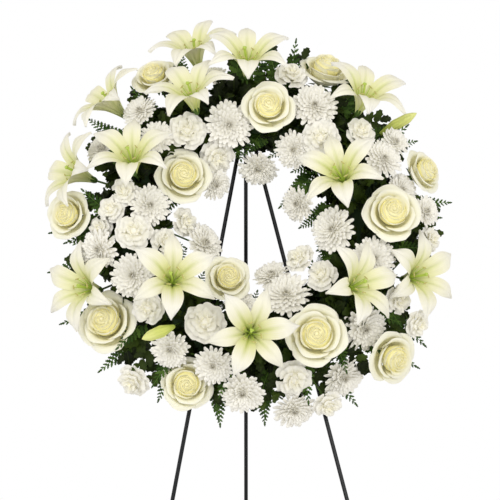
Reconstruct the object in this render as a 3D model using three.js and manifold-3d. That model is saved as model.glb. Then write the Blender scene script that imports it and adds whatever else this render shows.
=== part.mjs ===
// A standing funeral wreath: white lilies, roses, spray chrysanthemums and spray carnations with
// leatherleaf fern, set in a wet-foam ring on a moulded tray, carried by a folding wire easel.
// Millimetres, +Z up, the easel's feet on z = 0, the flowers facing -Y.
import * as THREE from "three";
import { mergeVertices } from "three/addons/utils/BufferGeometryUtils.js";
import Module from "manifold-3d";

const wasm = await Module();
wasm.setup();

// Driving dimensions
const GAP = 0.35; // clearance between pieces that touch on the real object
const LEAN = THREE.MathUtils.degToRad(10); // the easel's front leans back
const REAR_LEAN = THREE.MathUtils.degToRad(15); // the rear leg slants the other way
const CENTRE_HEIGHT = 1000; // wreath centre above the floor, measured along the leaning front
const FRONT_Y = -246; // where the front legs' line meets the floor

const RING_RADIUS = 190; // foam ring's centre circle
const FOAM_HALF_WIDTH = 38;
const FOAM_TOP = 60;
const CORE_DEPTH = 30; // depth of the foam's core line, which every stem points at
const TRAY_FLOOR = 3;
const TRAY_WALL = 2.5;
const TRAY_HEIGHT = 16;
const RING_STEPS = 26;

const WIRE_RADIUS = 3.5;
const WIRE_SIDES = 8;
const APEX_X = -7; // the two front legs and the rear leg meet here, just left of the wreath's centre
const APEX_RISE = 200; // crossing point of the front legs' lines, above the wreath's centre
const LEFT_SPLAY = 0.184;
const RIGHT_SPLAY = 0.255;
const BEND_RISE = 130; // above this the two front legs run parallel
const LEG_TOP = 206;
const CRADLE_RISE = -246;
const CRADLE_REACH = 66;

const STEM_RADIUS = 1.9;
const STEM_SIDES = 4;
const STEM_END = 17; // a stem stops this far from the foam's core line
const HOLE_RADIUS = 3.2; // over its corners, so that a stem turned any way clears its flats

// Depth is measured out of the wreath's face, so it runs along -Y.
const at = (across, depth, up) => new THREE.Vector3(across, -depth, up);

// A repeatable wobble between -1 and 1, the same for the same pair of numbers.
const wobble = (a, b) => Math.sin(12.9898 * (a + 1) + 78.233 * (b + 1));

// Solids

function solidOf(points, faces) {
  const vertProperties = new Float32Array(points.flatMap((p) => [p.x, p.y, p.z]));
  const build = (list) =>
    new wasm.Manifold(
      new wasm.Mesh({ numProp: 3, vertProperties, triVerts: new Uint32Array(list.flat()) }),
    );
  const made = build(faces);
  return made.volume() > 0 ? made : build(faces.map(([a, b, c]) => [a, c, b]));
}

function solidFromGeometry(geometry) {
  const bare = geometry.clone();
  bare.deleteAttribute("normal");
  bare.deleteAttribute("uv");
  const merged = mergeVertices(bare, 1e-3);
  const position = merged.getAttribute("position");
  const points = [];
  for (let i = 0; i < position.count; i++) {
    points.push(new THREE.Vector3().fromBufferAttribute(position, i));
  }
  const faces = [];
  for (let i = 0; i < merged.index.count; i += 3) {
    const face = [0, 1, 2].map((k) => merged.index.getX(i + k));
    if (new Set(face).size === 3) faces.push(face);
  }
  return solidOf(points, faces);
}

function geometryOf(solid) {
  const mesh = solid.getMesh();
  const geometry = new THREE.BufferGeometry();
  geometry.setAttribute("position", new THREE.BufferAttribute(mesh.vertProperties, 3));
  geometry.setIndex(new THREE.BufferAttribute(mesh.triVerts, 1));
  geometry.computeVertexNormals();
  return geometry;
}

const join = (solids) => solids.reduce((whole, next) => whole.add(next));

// The one body of a fused solid. Scraps under a cubic millimetre are dropped, and a loose piece is an error.
function wholeBody(solid) {
  const bodies = solid.decompose().sort((a, b) => b.volume() - a.volume());
  const loose = bodies.slice(1).filter((body) => body.volume() > 1);
  if (loose.length > 0) throw new Error(`${loose.length} pieces came loose`);
  return bodies[0];
}

// A rod of constant section along straight stretches, mitred where it bends.
// Its ends can be cut by a plane other than the square one.
function rod(path, radius, sides, { startNormal, endNormal } = {}) {
  const directions = path.slice(1).map((p, i) => p.clone().sub(path[i]).normalize());
  const first = directions[0];
  const helper = Math.abs(first.x) < 0.9 ? new THREE.Vector3(1, 0, 0) : new THREE.Vector3(0, 1, 0);
  const sideways = helper.clone().cross(first).normalize();
  const upright = first.clone().cross(sideways);
  let ring = [];
  for (let i = 0; i < sides; i++) {
    const angle = (2 * Math.PI * (i + 0.5)) / sides;
    ring.push(
      path[0]
        .clone()
        .addScaledVector(sideways, radius * Math.cos(angle))
        .addScaledVector(upright, radius * Math.sin(angle)),
    );
  }
  const slide = (points, direction, through, normal) =>
    points.map((p) => {
      const distance = through.clone().sub(p).dot(normal) / direction.dot(normal);
      return p.clone().addScaledVector(direction, distance);
    });
  if (startNormal) ring = slide(ring, first, path[0], startNormal);
  const rings = [ring];
  for (let i = 1; i < path.length; i++) {
    const before = directions[i - 1];
    const after = directions[i];
    const normal = after ? before.clone().add(after).normalize() : endNormal || before;
    ring = slide(ring, before, path[i], normal);
    rings.push(ring);
  }
  const faces = [];
  for (let k = 0; k + 1 < rings.length; k++) {
    for (let i = 0; i < sides; i++) {
      const j = (i + 1) % sides;
      const a = k * sides + i;
      const b = k * sides + j;
      faces.push([a, b, b + sides], [a, b + sides, a + sides]);
    }
  }
  const last = (rings.length - 1) * sides;
  for (let i = 1; i + 1 < sides; i++) {
    faces.push([0, i + 1, i], [last, last + i, last + i + 1]);
  }
  return solidOf(rings.flat(), faces);
}

// A thin blade: rows of a left edge, a rib and a right edge between a root point and a tip point.
// Both faces share the two edges and are split along the same diagonals.
function blade(root, rows, tip, thickness) {
  const points = [root];
  for (const { left, rib, right, normal } of rows) {
    const half = normal.clone().multiplyScalar(thickness / 2);
    points.push(left, rib.clone().add(half), right, rib.clone().sub(half));
  }
  points.push(tip);
  const end = points.length - 1;
  const faces = [];
  for (let i = 0; i < 4; i++) {
    faces.push([0, 1 + ((i + 1) % 4), 1 + i]);
    faces.push([end, end - 4 + i, end - 4 + ((i + 1) % 4)]);
  }
  for (let k = 0; k + 1 < rows.length; k++) {
    const a = 1 + 4 * k;
    const b = a + 4;
    for (const [edge, ribSide] of [
      [0, 1],
      [2, 1],
      [0, 3],
      [2, 3],
    ]) {
      const quad = [a + edge, a + ribSide, b + ribSide, b + edge];
      const turned = (edge === 0) === (ribSide === 1);
      const one = [quad[0], quad[1], quad[2]];
      const two = [quad[0], quad[2], quad[3]];
      faces.push(turned ? one : one.reverse(), turned ? two : two.reverse());
    }
  }
  return solidOf(points, faces);
}

// A cupped petal: a closed outline with one point in front of its middle and one behind.
function cuppedPetal(outline, middle, normal, thickness) {
  const half = normal.clone().multiplyScalar(thickness / 2);
  const count = outline.length;
  const points = [...outline, middle.clone().add(half), middle.clone().sub(half)];
  const faces = [];
  for (let i = 0; i < count; i++) {
    const next = (i + 1) % count;
    faces.push([i, next, count], [next, i, count + 1]);
  }
  return solidOf(points, faces);
}

// Flower heads, each in its own frame: +Z out of the face, the stem at the origin

const LILY_REACH = 73;
const LILY_HEIGHT = 62;
const TEPAL_THICKNESS = 1.4;

// A point of a lily tepal: s runs from throat to tip, u from edge to edge.
function tepalPoint(s, u, inner, lily, k) {
  const reach = 3 + LILY_REACH * s ** 1.35;
  const height = LILY_HEIGHT * Math.sin(2.2 * s) - (inner ? 0 : 3);
  const slopeR = 1.35 * LILY_REACH * Math.max(s, 0.02) ** 0.35;
  const slopeZ = 2.2 * LILY_HEIGHT * Math.cos(2.2 * s);
  const length = Math.hypot(slopeR, slopeZ);
  const width = (inner ? 15 : 11.5) * Math.sin(Math.PI * s) ** 0.9 * (0.45 + 0.95 * s);
  const lift = 7 * (1 - 1.6 * s) * u * u;
  const droop = 6 * wobble(lily, k) * s * s;
  const bend = 5 * wobble(lily + 7, k + 3) * s * s;
  const r = reach - (slopeZ / length) * lift;
  const z = height + (slopeR / length) * lift - droop;
  const side = u * width + bend;
  const turn = (k * Math.PI) / 3 + 0.07 * wobble(lily + 3, k);
  return new THREE.Vector3(
    r * Math.cos(turn) - side * Math.sin(turn),
    r * Math.sin(turn) + side * Math.cos(turn),
    z,
  );
}

function tepal(inner, lily, k) {
  const point = (s, u) => tepalPoint(s, u, inner, lily, k);
  const rows = (inner ? [0.26, 0.66] : [0.3, 0.74]).map((s) => {
    const along = point(s + 0.02, 0).sub(point(s - 0.02, 0));
    const across = point(s, 1).sub(point(s, -1));
    return {
      left: point(s, -1),
      rib: point(s, 0),
      right: point(s, 1),
      normal: along.cross(across).normalize(),
    };
  });
  return blade(point(0.01, 0), rows, point(1, 0), TEPAL_THICKNESS);
}

// A three-sided spike from a root inside the flower to its point.
function spike(root, tip, radius) {
  const along = tip.clone().sub(root).normalize();
  const sideways = new THREE.Vector3(0.3, 0.9, 0.1).cross(along).normalize();
  const upright = along.clone().cross(sideways);
  const points = [0, 1, 2].map((i) => {
    const angle = (2 * Math.PI * i) / 3;
    return root
      .clone()
      .addScaledVector(sideways, radius * Math.cos(angle))
      .addScaledVector(upright, radius * Math.sin(angle));
  });
  return solidOf(
    [...points, tip],
    [
      [0, 2, 1],
      [0, 1, 3],
      [1, 2, 3],
      [2, 0, 3],
    ],
  );
}

const latheSolid = (profile, steps) =>
  solidFromGeometry(
    new THREE.LatheGeometry(
      profile.map(([r, z]) => new THREE.Vector2(r, z)),
      steps,
    ).rotateX(Math.PI / 2),
  );

// Six filaments leaning out from one column, closed as a star: tips, notches and two centres.
function stamens() {
  const points = [new THREE.Vector3(0, 0, 26), new THREE.Vector3(0, 0, 13)];
  for (let i = 0; i < 12; i++) {
    const turn = (i * Math.PI) / 6;
    const [r, z] = i % 2 === 1 ? [13, 46] : [2.2, 20];
    points.push(new THREE.Vector3(r * Math.cos(turn), r * Math.sin(turn), z));
  }
  const faces = [];
  for (let i = 0; i < 12; i++) {
    const a = 2 + i;
    const b = 2 + ((i + 1) % 12);
    faces.push([0, a, b], [1, b, a]);
  }
  return solidOf(points, faces);
}

function lilyHead(lily) {
  const parts = [
    latheSolid(
      [
        [0, -5],
        [7, 3],
        [0, 16],
      ],
      4,
    ),
    stamens(),
  ];
  for (let k = 0; k < 6; k++) parts.push(tepal(k % 2 === 0, lily, k));
  const style = new THREE.Vector3(5 * wobble(lily, 20), 5 * wobble(lily, 21), 58);
  parts.push(spike(new THREE.Vector3(0, 0, 19), style, 2.2));
  return parts;
}

const budHead = () => [
  latheSolid(
    [
      [0, -4],
      [3.5, -4],
      [10, 24],
      [8.5, 50],
      [0, 68],
    ],
    6,
  ),
];

// Rose petals stand in rounds: how many, how wide, how far out, how high, and how far the lip rolls.
const ROSE_ROUNDS = [
  { count: 5, half: 0.74, out: 35, base: 0, high: 37, lip: 9, drop: 5, start: 0 },
  { count: 3, half: 1.1, out: 25, base: 3, high: 43, lip: 3, drop: 1, start: 0.5 },
  { count: 2, half: 1.45, out: 15, base: 6, high: 45, lip: -2, drop: 0, start: 0.2 },
];
const ROSE_SIZE = 42; // radius over the rolled lips at scale 1
const PETAL_THICKNESS = 1.3;

function rosePoint(s, u, round, rose, k) {
  const curl = Math.max(0, (s - 0.75) / 0.25) ** 2;
  const out =
    round.out * (0.14 + 0.86 * Math.sin((Math.PI / 2) * Math.min(1, 1.2 * s))) +
    round.lip * curl +
    2.4 * u;
  const high =
    round.base + round.high * s ** 1.1 * (1 - 0.1 * u * u) - round.drop * curl + 1.5 * wobble(rose, k) * s;
  const spread = round.half * (0.4 + 0.6 * Math.sin((Math.PI / 2) * Math.min(1, 1.5 * s)));
  const turn = ((k + round.start) * 2 * Math.PI) / round.count + 0.08 * wobble(rose, k) + u * spread;
  return new THREE.Vector3(out * Math.cos(turn), out * Math.sin(turn), high);
}

function roseHead(rose) {
  const parts = [
    latheSolid(
      [
        [0, -5],
        [8, -1],
        [5, 45],
        [0, 42],
      ],
      5,
    ),
  ];
  const outline = [
    [0, 0.02],
    [1, 0.4],
    [1, 0.78],
    [0.5, 1],
    [-0.5, 1],
    [-1, 0.78],
    [-1, 0.4],
  ];
  for (const round of ROSE_ROUNDS) {
    for (let k = 0; k < round.count; k++) {
      const point = (s, u) => rosePoint(s, u, round, rose, k);
      const along = point(0.65, 0).sub(point(0.5, 0));
      const across = point(0.6, 0.5).sub(point(0.6, -0.5));
      parts.push(
        cuppedPetal(
          outline.map(([u, s]) => point(s, u)),
          point(0.58, 0),
          along.cross(across).normalize(),
          PETAL_THICKNESS,
        ),
      );
    }
  }
  return parts;
}

// A head whose face is one folded relief: rings of tips and notches, staggered from ring to ring,
// closed below by a narrow neck that runs on as the head's branch to the point where it forks.
function foldedHead(count, centre, rings, neck, fork) {
  const steps = 2 * count;
  const points = [new THREE.Vector3(0, 0, centre)];
  rings.forEach((ring, row) => {
    for (let i = 0; i < steps; i++) {
      const tip = (i + row) % 2 === 0;
      const [r, z] = tip ? ring.tip : ring.notch;
      const turn = (i * Math.PI) / count;
      points.push(new THREE.Vector3(r * Math.cos(turn), r * Math.sin(turn), z));
    }
  });
  const faces = [];
  for (let i = 0; i < steps; i++) faces.push([0, 1 + i, 1 + ((i + 1) % steps)]);
  for (let row = 0; row + 1 < rings.length; row++) {
    const a = 1 + row * steps;
    const b = a + steps;
    for (let i = 0; i < steps; i++) {
      const j = (i + 1) % steps;
      // each fold's diagonal runs along its crease, from a tip to the next ring's notch
      if ((i + row) % 2 === 0) faces.push([a + i, b + i, b + j], [a + i, b + j, a + j]);
      else faces.push([a + i, b + i, a + j], [a + j, b + i, b + j]);
    }
  }
  const rim = 1 + (rings.length - 1) * steps;
  const neckStart = points.length;
  for (const [r, z] of neck) {
    for (let i = 0; i < STEM_SIDES; i++) {
      const turn = (2 * Math.PI * i) / STEM_SIDES;
      points.push(new THREE.Vector3(r * Math.cos(turn), r * Math.sin(turn), z));
    }
  }
  const upwards = new THREE.Vector3(0, 0, neck.at(-1)[1]).sub(fork).normalize();
  const sideways = new THREE.Vector3(1, 0, 0);
  sideways.addScaledVector(upwards, -sideways.dot(upwards)).normalize();
  const across = upwards.clone().cross(sideways);
  for (let i = 0; i < STEM_SIDES; i++) {
    const turn = (2 * Math.PI * i) / STEM_SIDES;
    points.push(
      fork
        .clone()
        .addScaledVector(sideways, STEM_RADIUS * Math.cos(turn))
        .addScaledVector(across, STEM_RADIUS * Math.sin(turn)),
    );
  }
  // the wide rim closes down onto the neck's few sides
  let inner = 0;
  for (let i = 0; i < steps; i++) {
    const j = (i + 1) % steps;
    faces.push([rim + i, neckStart + (inner % STEM_SIDES), rim + j]);
    if ((i + 1) * STEM_SIDES >= (inner + 0.5) * steps && inner < STEM_SIDES) {
      faces.push([
        rim + j,
        neckStart + (inner % STEM_SIDES),
        neckStart + ((inner + 1) % STEM_SIDES),
      ]);
      inner++;
    }
  }
  for (let k = 0; k < neck.length; k++) {
    for (let i = 0; i < STEM_SIDES; i++) {
      const a = neckStart + k * STEM_SIDES + i;
      const b = neckStart + k * STEM_SIDES + ((i + 1) % STEM_SIDES);
      faces.push([a, a + STEM_SIDES, b + STEM_SIDES], [a, b + STEM_SIDES, b]);
    }
  }
  const last = neckStart + neck.length * STEM_SIDES;
  for (let i = 1; i + 1 < STEM_SIDES; i++) faces.push([last, last + i + 1, last + i]);
  return solidOf(points, faces);
}

const MUM_RADIUS = 31;
const mumHead = (fork) =>
  foldedHead(
    7,
    11,
    [
      { tip: [12, 19], notch: [8, 13] },
      { tip: [22, 15], notch: [15, 9] },
      { tip: [31, 7], notch: [22, 2] },
    ],
    [[3, -5]],
    fork,
  );

const CARNATION_RADIUS = 25;
const carnationHead = (fork) =>
  foldedHead(
    6,
    21,
    [
      { tip: [10, 28], notch: [7, 20] },
      { tip: [19, 25], notch: [14, 16] },
      { tip: [25, 18], notch: [19, 10] },
    ],
    [
      [5.5, 0],
      [3.5, -16],
    ],
    fork,
  );

// The florist's plan. Across and up are where the head's base stands on the wreath, from its centre;
// rise is how far it stands off the foam's core line; right and high lean its face that way.

const LILIES = [
  { name: "lily_upper_left", across: -86, up: 174, rise: 78, right: -0.3, high: 0.9, spin: 0.0 },
  { name: "lily_left", across: -185, up: 72, rise: 84, right: -0.1, high: 0.62, spin: 0.14 },
  { name: "lily_top", across: -5, up: 237, rise: 74, right: 0.05, high: 0.84, spin: 0.167 },
  { name: "lily_right", across: 152, up: 52, rise: 84, right: -0.23, high: 0.37, spin: 0.222 },
  { name: "lily_upper_right", across: 174, up: 178, rise: 78, right: 0.4, high: 0.85, spin: 0.167 },
  { name: "lily_lower_left", across: -124, up: -110, rise: 88, right: 0.1, high: 0.15, spin: 0.167 },
  { name: "lily_bottom", across: -1, up: -187, rise: 88, right: 0.1, high: -0.1, spin: 0.05 },
  { name: "lily_lower_right", across: 146, up: -118, rise: 82, right: 0.75, high: 0.15, spin: 0.11 },
  { name: "lily_far_right", across: 248, up: -86, rise: 72, right: 0.7, high: 0.0, spin: 0.18 },
  { name: "lily_far_left", across: -243, up: -104, rise: 74, right: -0.8, high: 0.0, spin: 0.167 },
  { name: "lily_rim_upper_left", across: -205, up: 185, rise: 66, right: -1.6, high: 1.3, spin: 0.0 },
  { name: "lily_rim_left", across: -255, up: 78, rise: 66, right: -1.6, high: 0.45, spin: 0.17 },
  { name: "lily_rim_top", across: -84, up: 264, rise: 62, right: -0.35, high: 1.2, spin: 0.03 },
];

const BUDS = [
  { name: "lily_bud_right", across: 218, up: 158, rise: 62, right: 1.7, high: 0.8, spin: 0 },
  { name: "lily_bud_left", across: -123, up: -176, rise: 84, right: -1.0, high: -0.55, spin: 0 },
];

const ROSES = [
  { name: "rose_left", across: -110, up: 72, rise: 66, right: 0.1, high: 0.05, size: 1.0 },
  { name: "rose_far_left", across: -285, up: 16, rise: 88, right: -0.5, high: 0.0, size: 0.9 },
  { name: "rose_upper_left", across: -152, up: 238, rise: 78, right: -0.3, high: 0.6, size: 0.86 },
  { name: "rose_top", across: 30, up: 178, rise: 62, right: 0.0, high: 0.1, size: 0.96 },
  { name: "rose_upper_right", across: 118, up: 240, rise: 66, right: 0.4, high: 1.2, size: 1.0 },
  { name: "rose_right", across: 222, up: 3, rise: 66, right: 0.15, high: 0.15, size: 1.05 },
  { name: "rose_far_right", across: 268, up: 84, rise: 78, right: 1.1, high: 0.4, size: 0.86 },
  { name: "rose_lower_right", across: 215, up: -208, rise: 70, right: 0.7, high: -0.45, size: 1.0 },
  { name: "rose_bottom_right", across: 104, up: -190, rise: 66, right: 0.0, high: 0.0, size: 1.1 },
  { name: "rose_inner", across: -40, up: -96, rise: 90, right: 0.2, high: 0.15, size: 0.86 },
  { name: "rose_lower_left", across: -220, up: -163, rise: 76, right: -0.35, high: 0.1, size: 1.12 },
  { name: "rose_bottom", across: -101, up: -256, rise: 80, right: 0.0, high: -0.15, size: 0.96 },
];

// Chrysanthemums and carnations grow as sprays: a few heads on one branching stem.
// Each head is across, up, rise and radius, and may lean its face right and high.
const MUM_SPRAYS = {
  mum_spray_top: [
    [-34, 158, 62, 34],
    [-62, 248, 66, 22],
  ],
  mum_spray_inner_top: [
    [14, 101, 88, 28],
    [-58, 67, 104, 22],
  ],
  mum_spray_upper_right: [
    [104, 187, 58, 33],
    [72, 120, 68, 27],
  ],
  mum_spray_right: [
    [214, 102, 66, 28],
    [243, 54, 66, 25],
    [234, 132, 86, 22],
    [283, 20, 98, 22],
  ],
  mum_spray_inner_right: [
    [80, 34, 106, 25],
    [136, -14, 70, 32],
    [197, -64, 62, 31],
  ],
  mum_spray_lower_right: [
    [181, -168, 60, 33],
    [149, -243, 86, 31],
  ],
  mum_spray_bottom: [
    [-12, -272, 88, 31],
    [-58, -232, 70, 27],
    [-126, -205, 66, 27],
    [70, -296, 112, 29],
  ],
  mum_spray_inner_bottom: [
    [59, -123, 70, 34],
    [37, -86, 98, 26],
    [-14, -137, 62, 23],
  ],
  mum_spray_far_left: [
    [-240, -46, 70, 29],
    [-186, -90, 58, 31],
  ],
  mum_spray_inner_left: [
    [-77, -32, 108, 29],
    [-162, 24, 62, 29],
  ],
  mum_spray_upper_left: [
    [-150, 134, 62, 24],
    [-178, 182, 76, 25],
    [-240, 126, 82, 25],
  ],
};

const CARNATION_SPRAYS = {
  carnation_spray_upper_left: [
    [-102, 146, 56, 26],
    [-57, 116, 66, 25],
  ],
  carnation_spray_left: [
    [-200, 45, 56, 20],
    [-220, 18, 58, 19],
    [-236, -8, 54, 19],
  ],
  carnation_spray_inner_left: [
    [-186, -20, 56, 26],
    [-112, 2, 82, 20],
    [-140, -36, 66, 20],
  ],
  carnation_spray_upper_right: [
    [66, 238, 66, 23],
    [115, 134, 58, 26],
    [176, 144, 58, 21],
  ],
  carnation_spray_right: [
    [286, -22, 97, 19],
    [232, -122, 76, 21],
    [264, -158, 118, 20],
  ],
  carnation_spray_inner_right: [
    [85, -62, 90, 21],
    [118, -92, 62, 22],
  ],
  carnation_spray_lower_left: [
    [-160, -142, 58, 22],
    [-72, -168, 56, 28],
    [-182, -246, 114, 24],
  ],
  carnation_spray_bottom: [
    [67, -246, 72, 26],
    [122, -284, 118, 21],
  ],
};

// Leatherleaf fern: each stem carries fronds behind the flowers. A frond has its root at an angle round
// the ring and a depth, and its tip across and up with a depth of its own.
const FERNS = {
  fern_upper_left: [
    [118, 22, -112, 300, 0],
    [132, 22, -196, 252, 4],
    [146, 22, -272, 190, 4],
  ],
  fern_left: [
    [178, 22, -333, -6, 4],
    [193, 22, -333, -72, 6],
    [212, 22, -312, -158, 8],
    [226, 22, -248, -237, 6],
    [240, 22, -150, -286, 8],
  ],
  fern_bottom: [
    [257, 22, -48, -327, 10],
    [275, 22, 24, -324, 8],
  ],
  fern_lower_right: [
    [297, 22, 176, -291, -8],
    [314, 22, 277, -230, 4],
    [330, 22, 288, -196, 10],
  ],
  fern_right: [
    [358, 22, 311, 19, 6],
    [9, 22, 334, 46, 4],
    [32, 22, 279, 150, 6],
  ],
  fern_upper_right: [
    [53, 22, 192, 262, 6],
    [72, 22, 74, 300, 4],
  ],
  fern_inner: [
    [-30, 22, 112, -45, 20],
    [14, 22, 79, 0, 14],
    [40, 22, 46, 32, 20],
  ],
};

// Places

// The unit vector out of the ring's centre line towards a point of the wreath's face.
const radial = (across, up) => at(across, 0, up).normalize();

// The place of a head's base: its rise is the distance from the foam's core line.
function headPlace([across, up, rise]) {
  const spread = Math.hypot(across, up) - RING_RADIUS;
  const depth = CORE_DEPTH + Math.sqrt(Math.max(0, rise * rise - spread * spread));
  return at(across, depth, up);
}

const corePoint = (place) => radial(place.x, place.z).multiplyScalar(RING_RADIUS).add(at(0, CORE_DEPTH, 0));

// Turns a head's own frame: +Z looks along a direction, and +X lies across the wreath before the spin.
function facing(direction, spin) {
  const out = direction.clone().normalize();
  const across = new THREE.Vector3(1, 0, 0);
  across.addScaledVector(out, -out.x).normalize();
  const basis = new THREE.Matrix4().makeBasis(across, out.clone().cross(across), out);
  const turn = new THREE.Quaternion().setFromRotationMatrix(basis);
  return turn.multiply(
    new THREE.Quaternion().setFromAxisAngle(new THREE.Vector3(0, 0, 1), spin * Math.PI),
  );
}

// A spray head looks out of the ring, turned half way back to the viewer.
function sprayFacing(place) {
  const outwards = place.clone().sub(corePoint(place)).normalize();
  return outwards.add(at(0, 0.9, 0)).normalize();
}

const stemHoles = [];

// The stretch of stem that stands in the foam, and the hole that it leaves there.
function footStem(from) {
  const core = corePoint(from);
  const inwards = from.clone().sub(core).normalize();
  const end = core.clone().addScaledVector(inwards, STEM_END);
  const outside = core.clone().addScaledVector(inwards, FOAM_HALF_WIDTH + 12);
  stemHoles.push(
    rod(
      [end.clone().addScaledVector(inwards, -1), outside],
      HOLE_RADIUS,
      STEM_SIDES,
    ),
  );
  return end;
}

// Nodes

const MATERIALS = {
  lily: { color: 0xf4f1d8, roughness: 0.55 },
  bud: { color: 0xdfe3a0, roughness: 0.5 },
  rose: { color: 0xf6f2cf, roughness: 0.6 },
  mum: { color: 0xf6f4ea, roughness: 0.65 },
  carnation: { color: 0xf9f7ec, roughness: 0.7 },
  fern: { color: 0x2c4a1e, roughness: 0.5 },
  foam: { color: 0x2f5237, roughness: 0.95 },
  tray: { color: 0x1d2a20, roughness: 0.5 },
  wire: { color: 0x0d1411, roughness: 0.35, metalness: 0.4 },
};
const material = Object.fromEntries(
  Object.entries(MATERIALS).map(([name, look]) => [name, new THREE.MeshStandardMaterial(look)]),
);

function nodeOf(name, solid, look, group) {
  const mesh = new THREE.Mesh(geometryOf(solid), material[look]);
  mesh.name = name;
  group.add(mesh);
  return mesh;
}

// One bloom on its own stem. The bloom is fused in its own frame, with the stem brought into it.
function addBloom(group, plan, head, look, scale, seed) {
  const place = headPlace([plan.across, plan.up, plan.rise]);
  const turn = facing(at(plan.right, 1, plan.high), plan.spin ?? 0.3 * seed);
  const end = footStem(place);
  const back = turn.clone().invert();
  const local = end.clone().sub(place).applyQuaternion(back);
  const stem = rod([new THREE.Vector3(0, 0, 0), local], STEM_RADIUS, STEM_SIDES);
  const sized = head.map((part) => part.scale([scale, scale, scale]));
  const mesh = nodeOf(plan.name, wholeBody(join([...sized, stem])), look, group);
  mesh.position.copy(place);
  mesh.quaternion.copy(turn);
}

function addSpray(group, name, heads, head, radius, look) {
  const places = heads.map(headPlace);
  const middle = places.reduce((sum, p) => sum.add(p), new THREE.Vector3()).divideScalar(places.length);
  const core = corePoint(middle);
  const out = middle.clone().sub(core).normalize();
  const fork = core.clone().addScaledVector(out, FOAM_HALF_WIDTH + 8);
  const parts = [rod([footStem(fork), fork.clone().addScaledVector(out, 2)], STEM_RADIUS, STEM_SIDES)];
  places.forEach((place, i) => {
    const scale = heads[i][3] / radius;
    const turn = facing(sprayFacing(place), 0.37 * i);
    const matrix = new THREE.Matrix4().compose(place, turn, new THREE.Vector3(scale, scale, scale));
    const local = fork.clone().applyMatrix4(matrix.clone().invert());
    parts.push(head(local).transform(matrix.elements));
  });
  nodeOf(name, wholeBody(join(parts)), look, group);
}

const FROND_PAIRS = 4;
const FROND_THICKNESS = 1.2;

// A frond: leaflets cut to the rib in one thin arched outline.
function frond(root, tip, halfWidth, lift) {
  const along = tip.clone().sub(root);
  const outwards = at(0, 1, 0);
  const sideways = along.clone().cross(outwards).normalize();
  const normal = sideways.clone().cross(along).normalize();
  const spot = (t, side) =>
    root
      .clone()
      .addScaledVector(along, t)
      .addScaledVector(normal, lift * 4 * t * (1 - t) - 0.25 * Math.abs(side))
      .addScaledVector(sideways, side);
  const half = normal.clone().multiplyScalar(FROND_THICKNESS / 2);
  const points = [];
  const faces = [];
  const steps = FROND_PAIRS;
  // per rib station: left notch, top of rib, right notch, bottom of rib
  for (let k = 0; k <= steps; k++) {
    const t = k / (steps + 0.8);
    const rib = spot(t, 0);
    points.push(spot(t, -1.2), rib.clone().add(half), spot(t, 1.2), rib.clone().sub(half));
  }
  const firstTip = points.length;
  for (let k = 0; k < steps; k++) {
    const t = (k + 1.15) / (steps + 0.8);
    const width = halfWidth * (1 - k / (steps + 0.6)) ** 0.8;
    points.push(spot(t, -width), spot(t, width));
  }
  const end = points.length;
  points.push(spot(1, 0));
  for (let k = 0; k < steps; k++) {
    const a = 4 * k;
    const b = a + 4;
    const left = firstTip + 2 * k;
    const right = left + 1;
    faces.push([a, a + 1, left], [a + 1, b + 1, left], [b + 1, b, left]);
    faces.push([a + 3, a, left], [b + 3, a + 3, left], [b, b + 3, left]);
    faces.push([a + 1, a + 2, right], [b + 1, a + 1, right], [b + 2, b + 1, right]);
    faces.push([a + 2, a + 3, right], [a + 3, b + 3, right], [b + 3, b + 2, right]);
  }
  const last = 4 * steps;
  for (let i = 0; i < 4; i++) {
    faces.push([last + i, last + ((i + 1) % 4), end]);
  }
  faces.push([0, 2, 1], [0, 3, 2]);
  return solidOf(points, faces);
}

function addFern(group, name, fronds, inner) {
  const side = inner ? RING_RADIUS - FOAM_HALF_WIDTH - 9 : RING_RADIUS + FOAM_HALF_WIDTH + 9;
  const parts = [];
  const roots = fronds.map(([angle, depth]) => {
    const turn = THREE.MathUtils.degToRad(angle);
    return at(side * Math.cos(turn), depth, side * Math.sin(turn));
  });
  const middle = roots[Math.floor(roots.length / 2)];
  parts.push(rod([footStem(middle), middle], STEM_RADIUS, STEM_SIDES));
  parts.push(rod(roots, 1.6, STEM_SIDES));
  fronds.forEach(([, , across, up, depth], i) => {
    parts.push(frond(roots[i], at(across, depth, up), 19, 5));
  });
  nodeOf(name, wholeBody(join(parts)), "fern", group);
}

// The foam ring and its tray, turned about the wreath's axis

function ringSolid(profile) {
  const closed = [...profile, profile[0]];
  return solidFromGeometry(
    new THREE.LatheGeometry(
      closed.map(([offset, depth]) => new THREE.Vector2(RING_RADIUS + offset, -depth)),
      RING_STEPS,
    ),
  );
}

function addRing(group) {
  const wide = FOAM_HALF_WIDTH;
  const foam = ringSolid([
    [-wide, TRAY_FLOOR + GAP],
    [-wide, 42],
    [-0.5 * wide, FOAM_TOP],
    [0.5 * wide, FOAM_TOP],
    [wide, 42],
    [wide, TRAY_FLOOR + GAP],
  ]);
  const inside = wide + GAP;
  const outside = inside + TRAY_WALL;
  const tray = ringSolid([
    [-outside, 0],
    [-outside, TRAY_HEIGHT],
    [-inside, TRAY_HEIGHT],
    [-inside, TRAY_FLOOR],
    [inside, TRAY_FLOOR],
    [inside, TRAY_HEIGHT],
    [outside, TRAY_HEIGHT],
    [outside, 0],
  ]);
  nodeOf("foam_ring", wholeBody(foam.subtract(join(stemHoles))), "foam", group);
  nodeOf("ring_tray", tray, "tray", group);
}

// The easel. Its front stands in the wreath's leaning plane, so its legs use the same axes.

const leaning = new THREE.Quaternion().setFromAxisAngle(new THREE.Vector3(1, 0, 0), -LEAN);
const wreathCentre = new THREE.Vector3(
  0,
  FRONT_Y + CENTRE_HEIGHT * Math.sin(LEAN),
  CENTRE_HEIGHT * Math.cos(LEAN),
);
const onPlane = (across, depth, up) => at(across, depth, up).applyQuaternion(leaning).add(wreathCentre);

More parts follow.
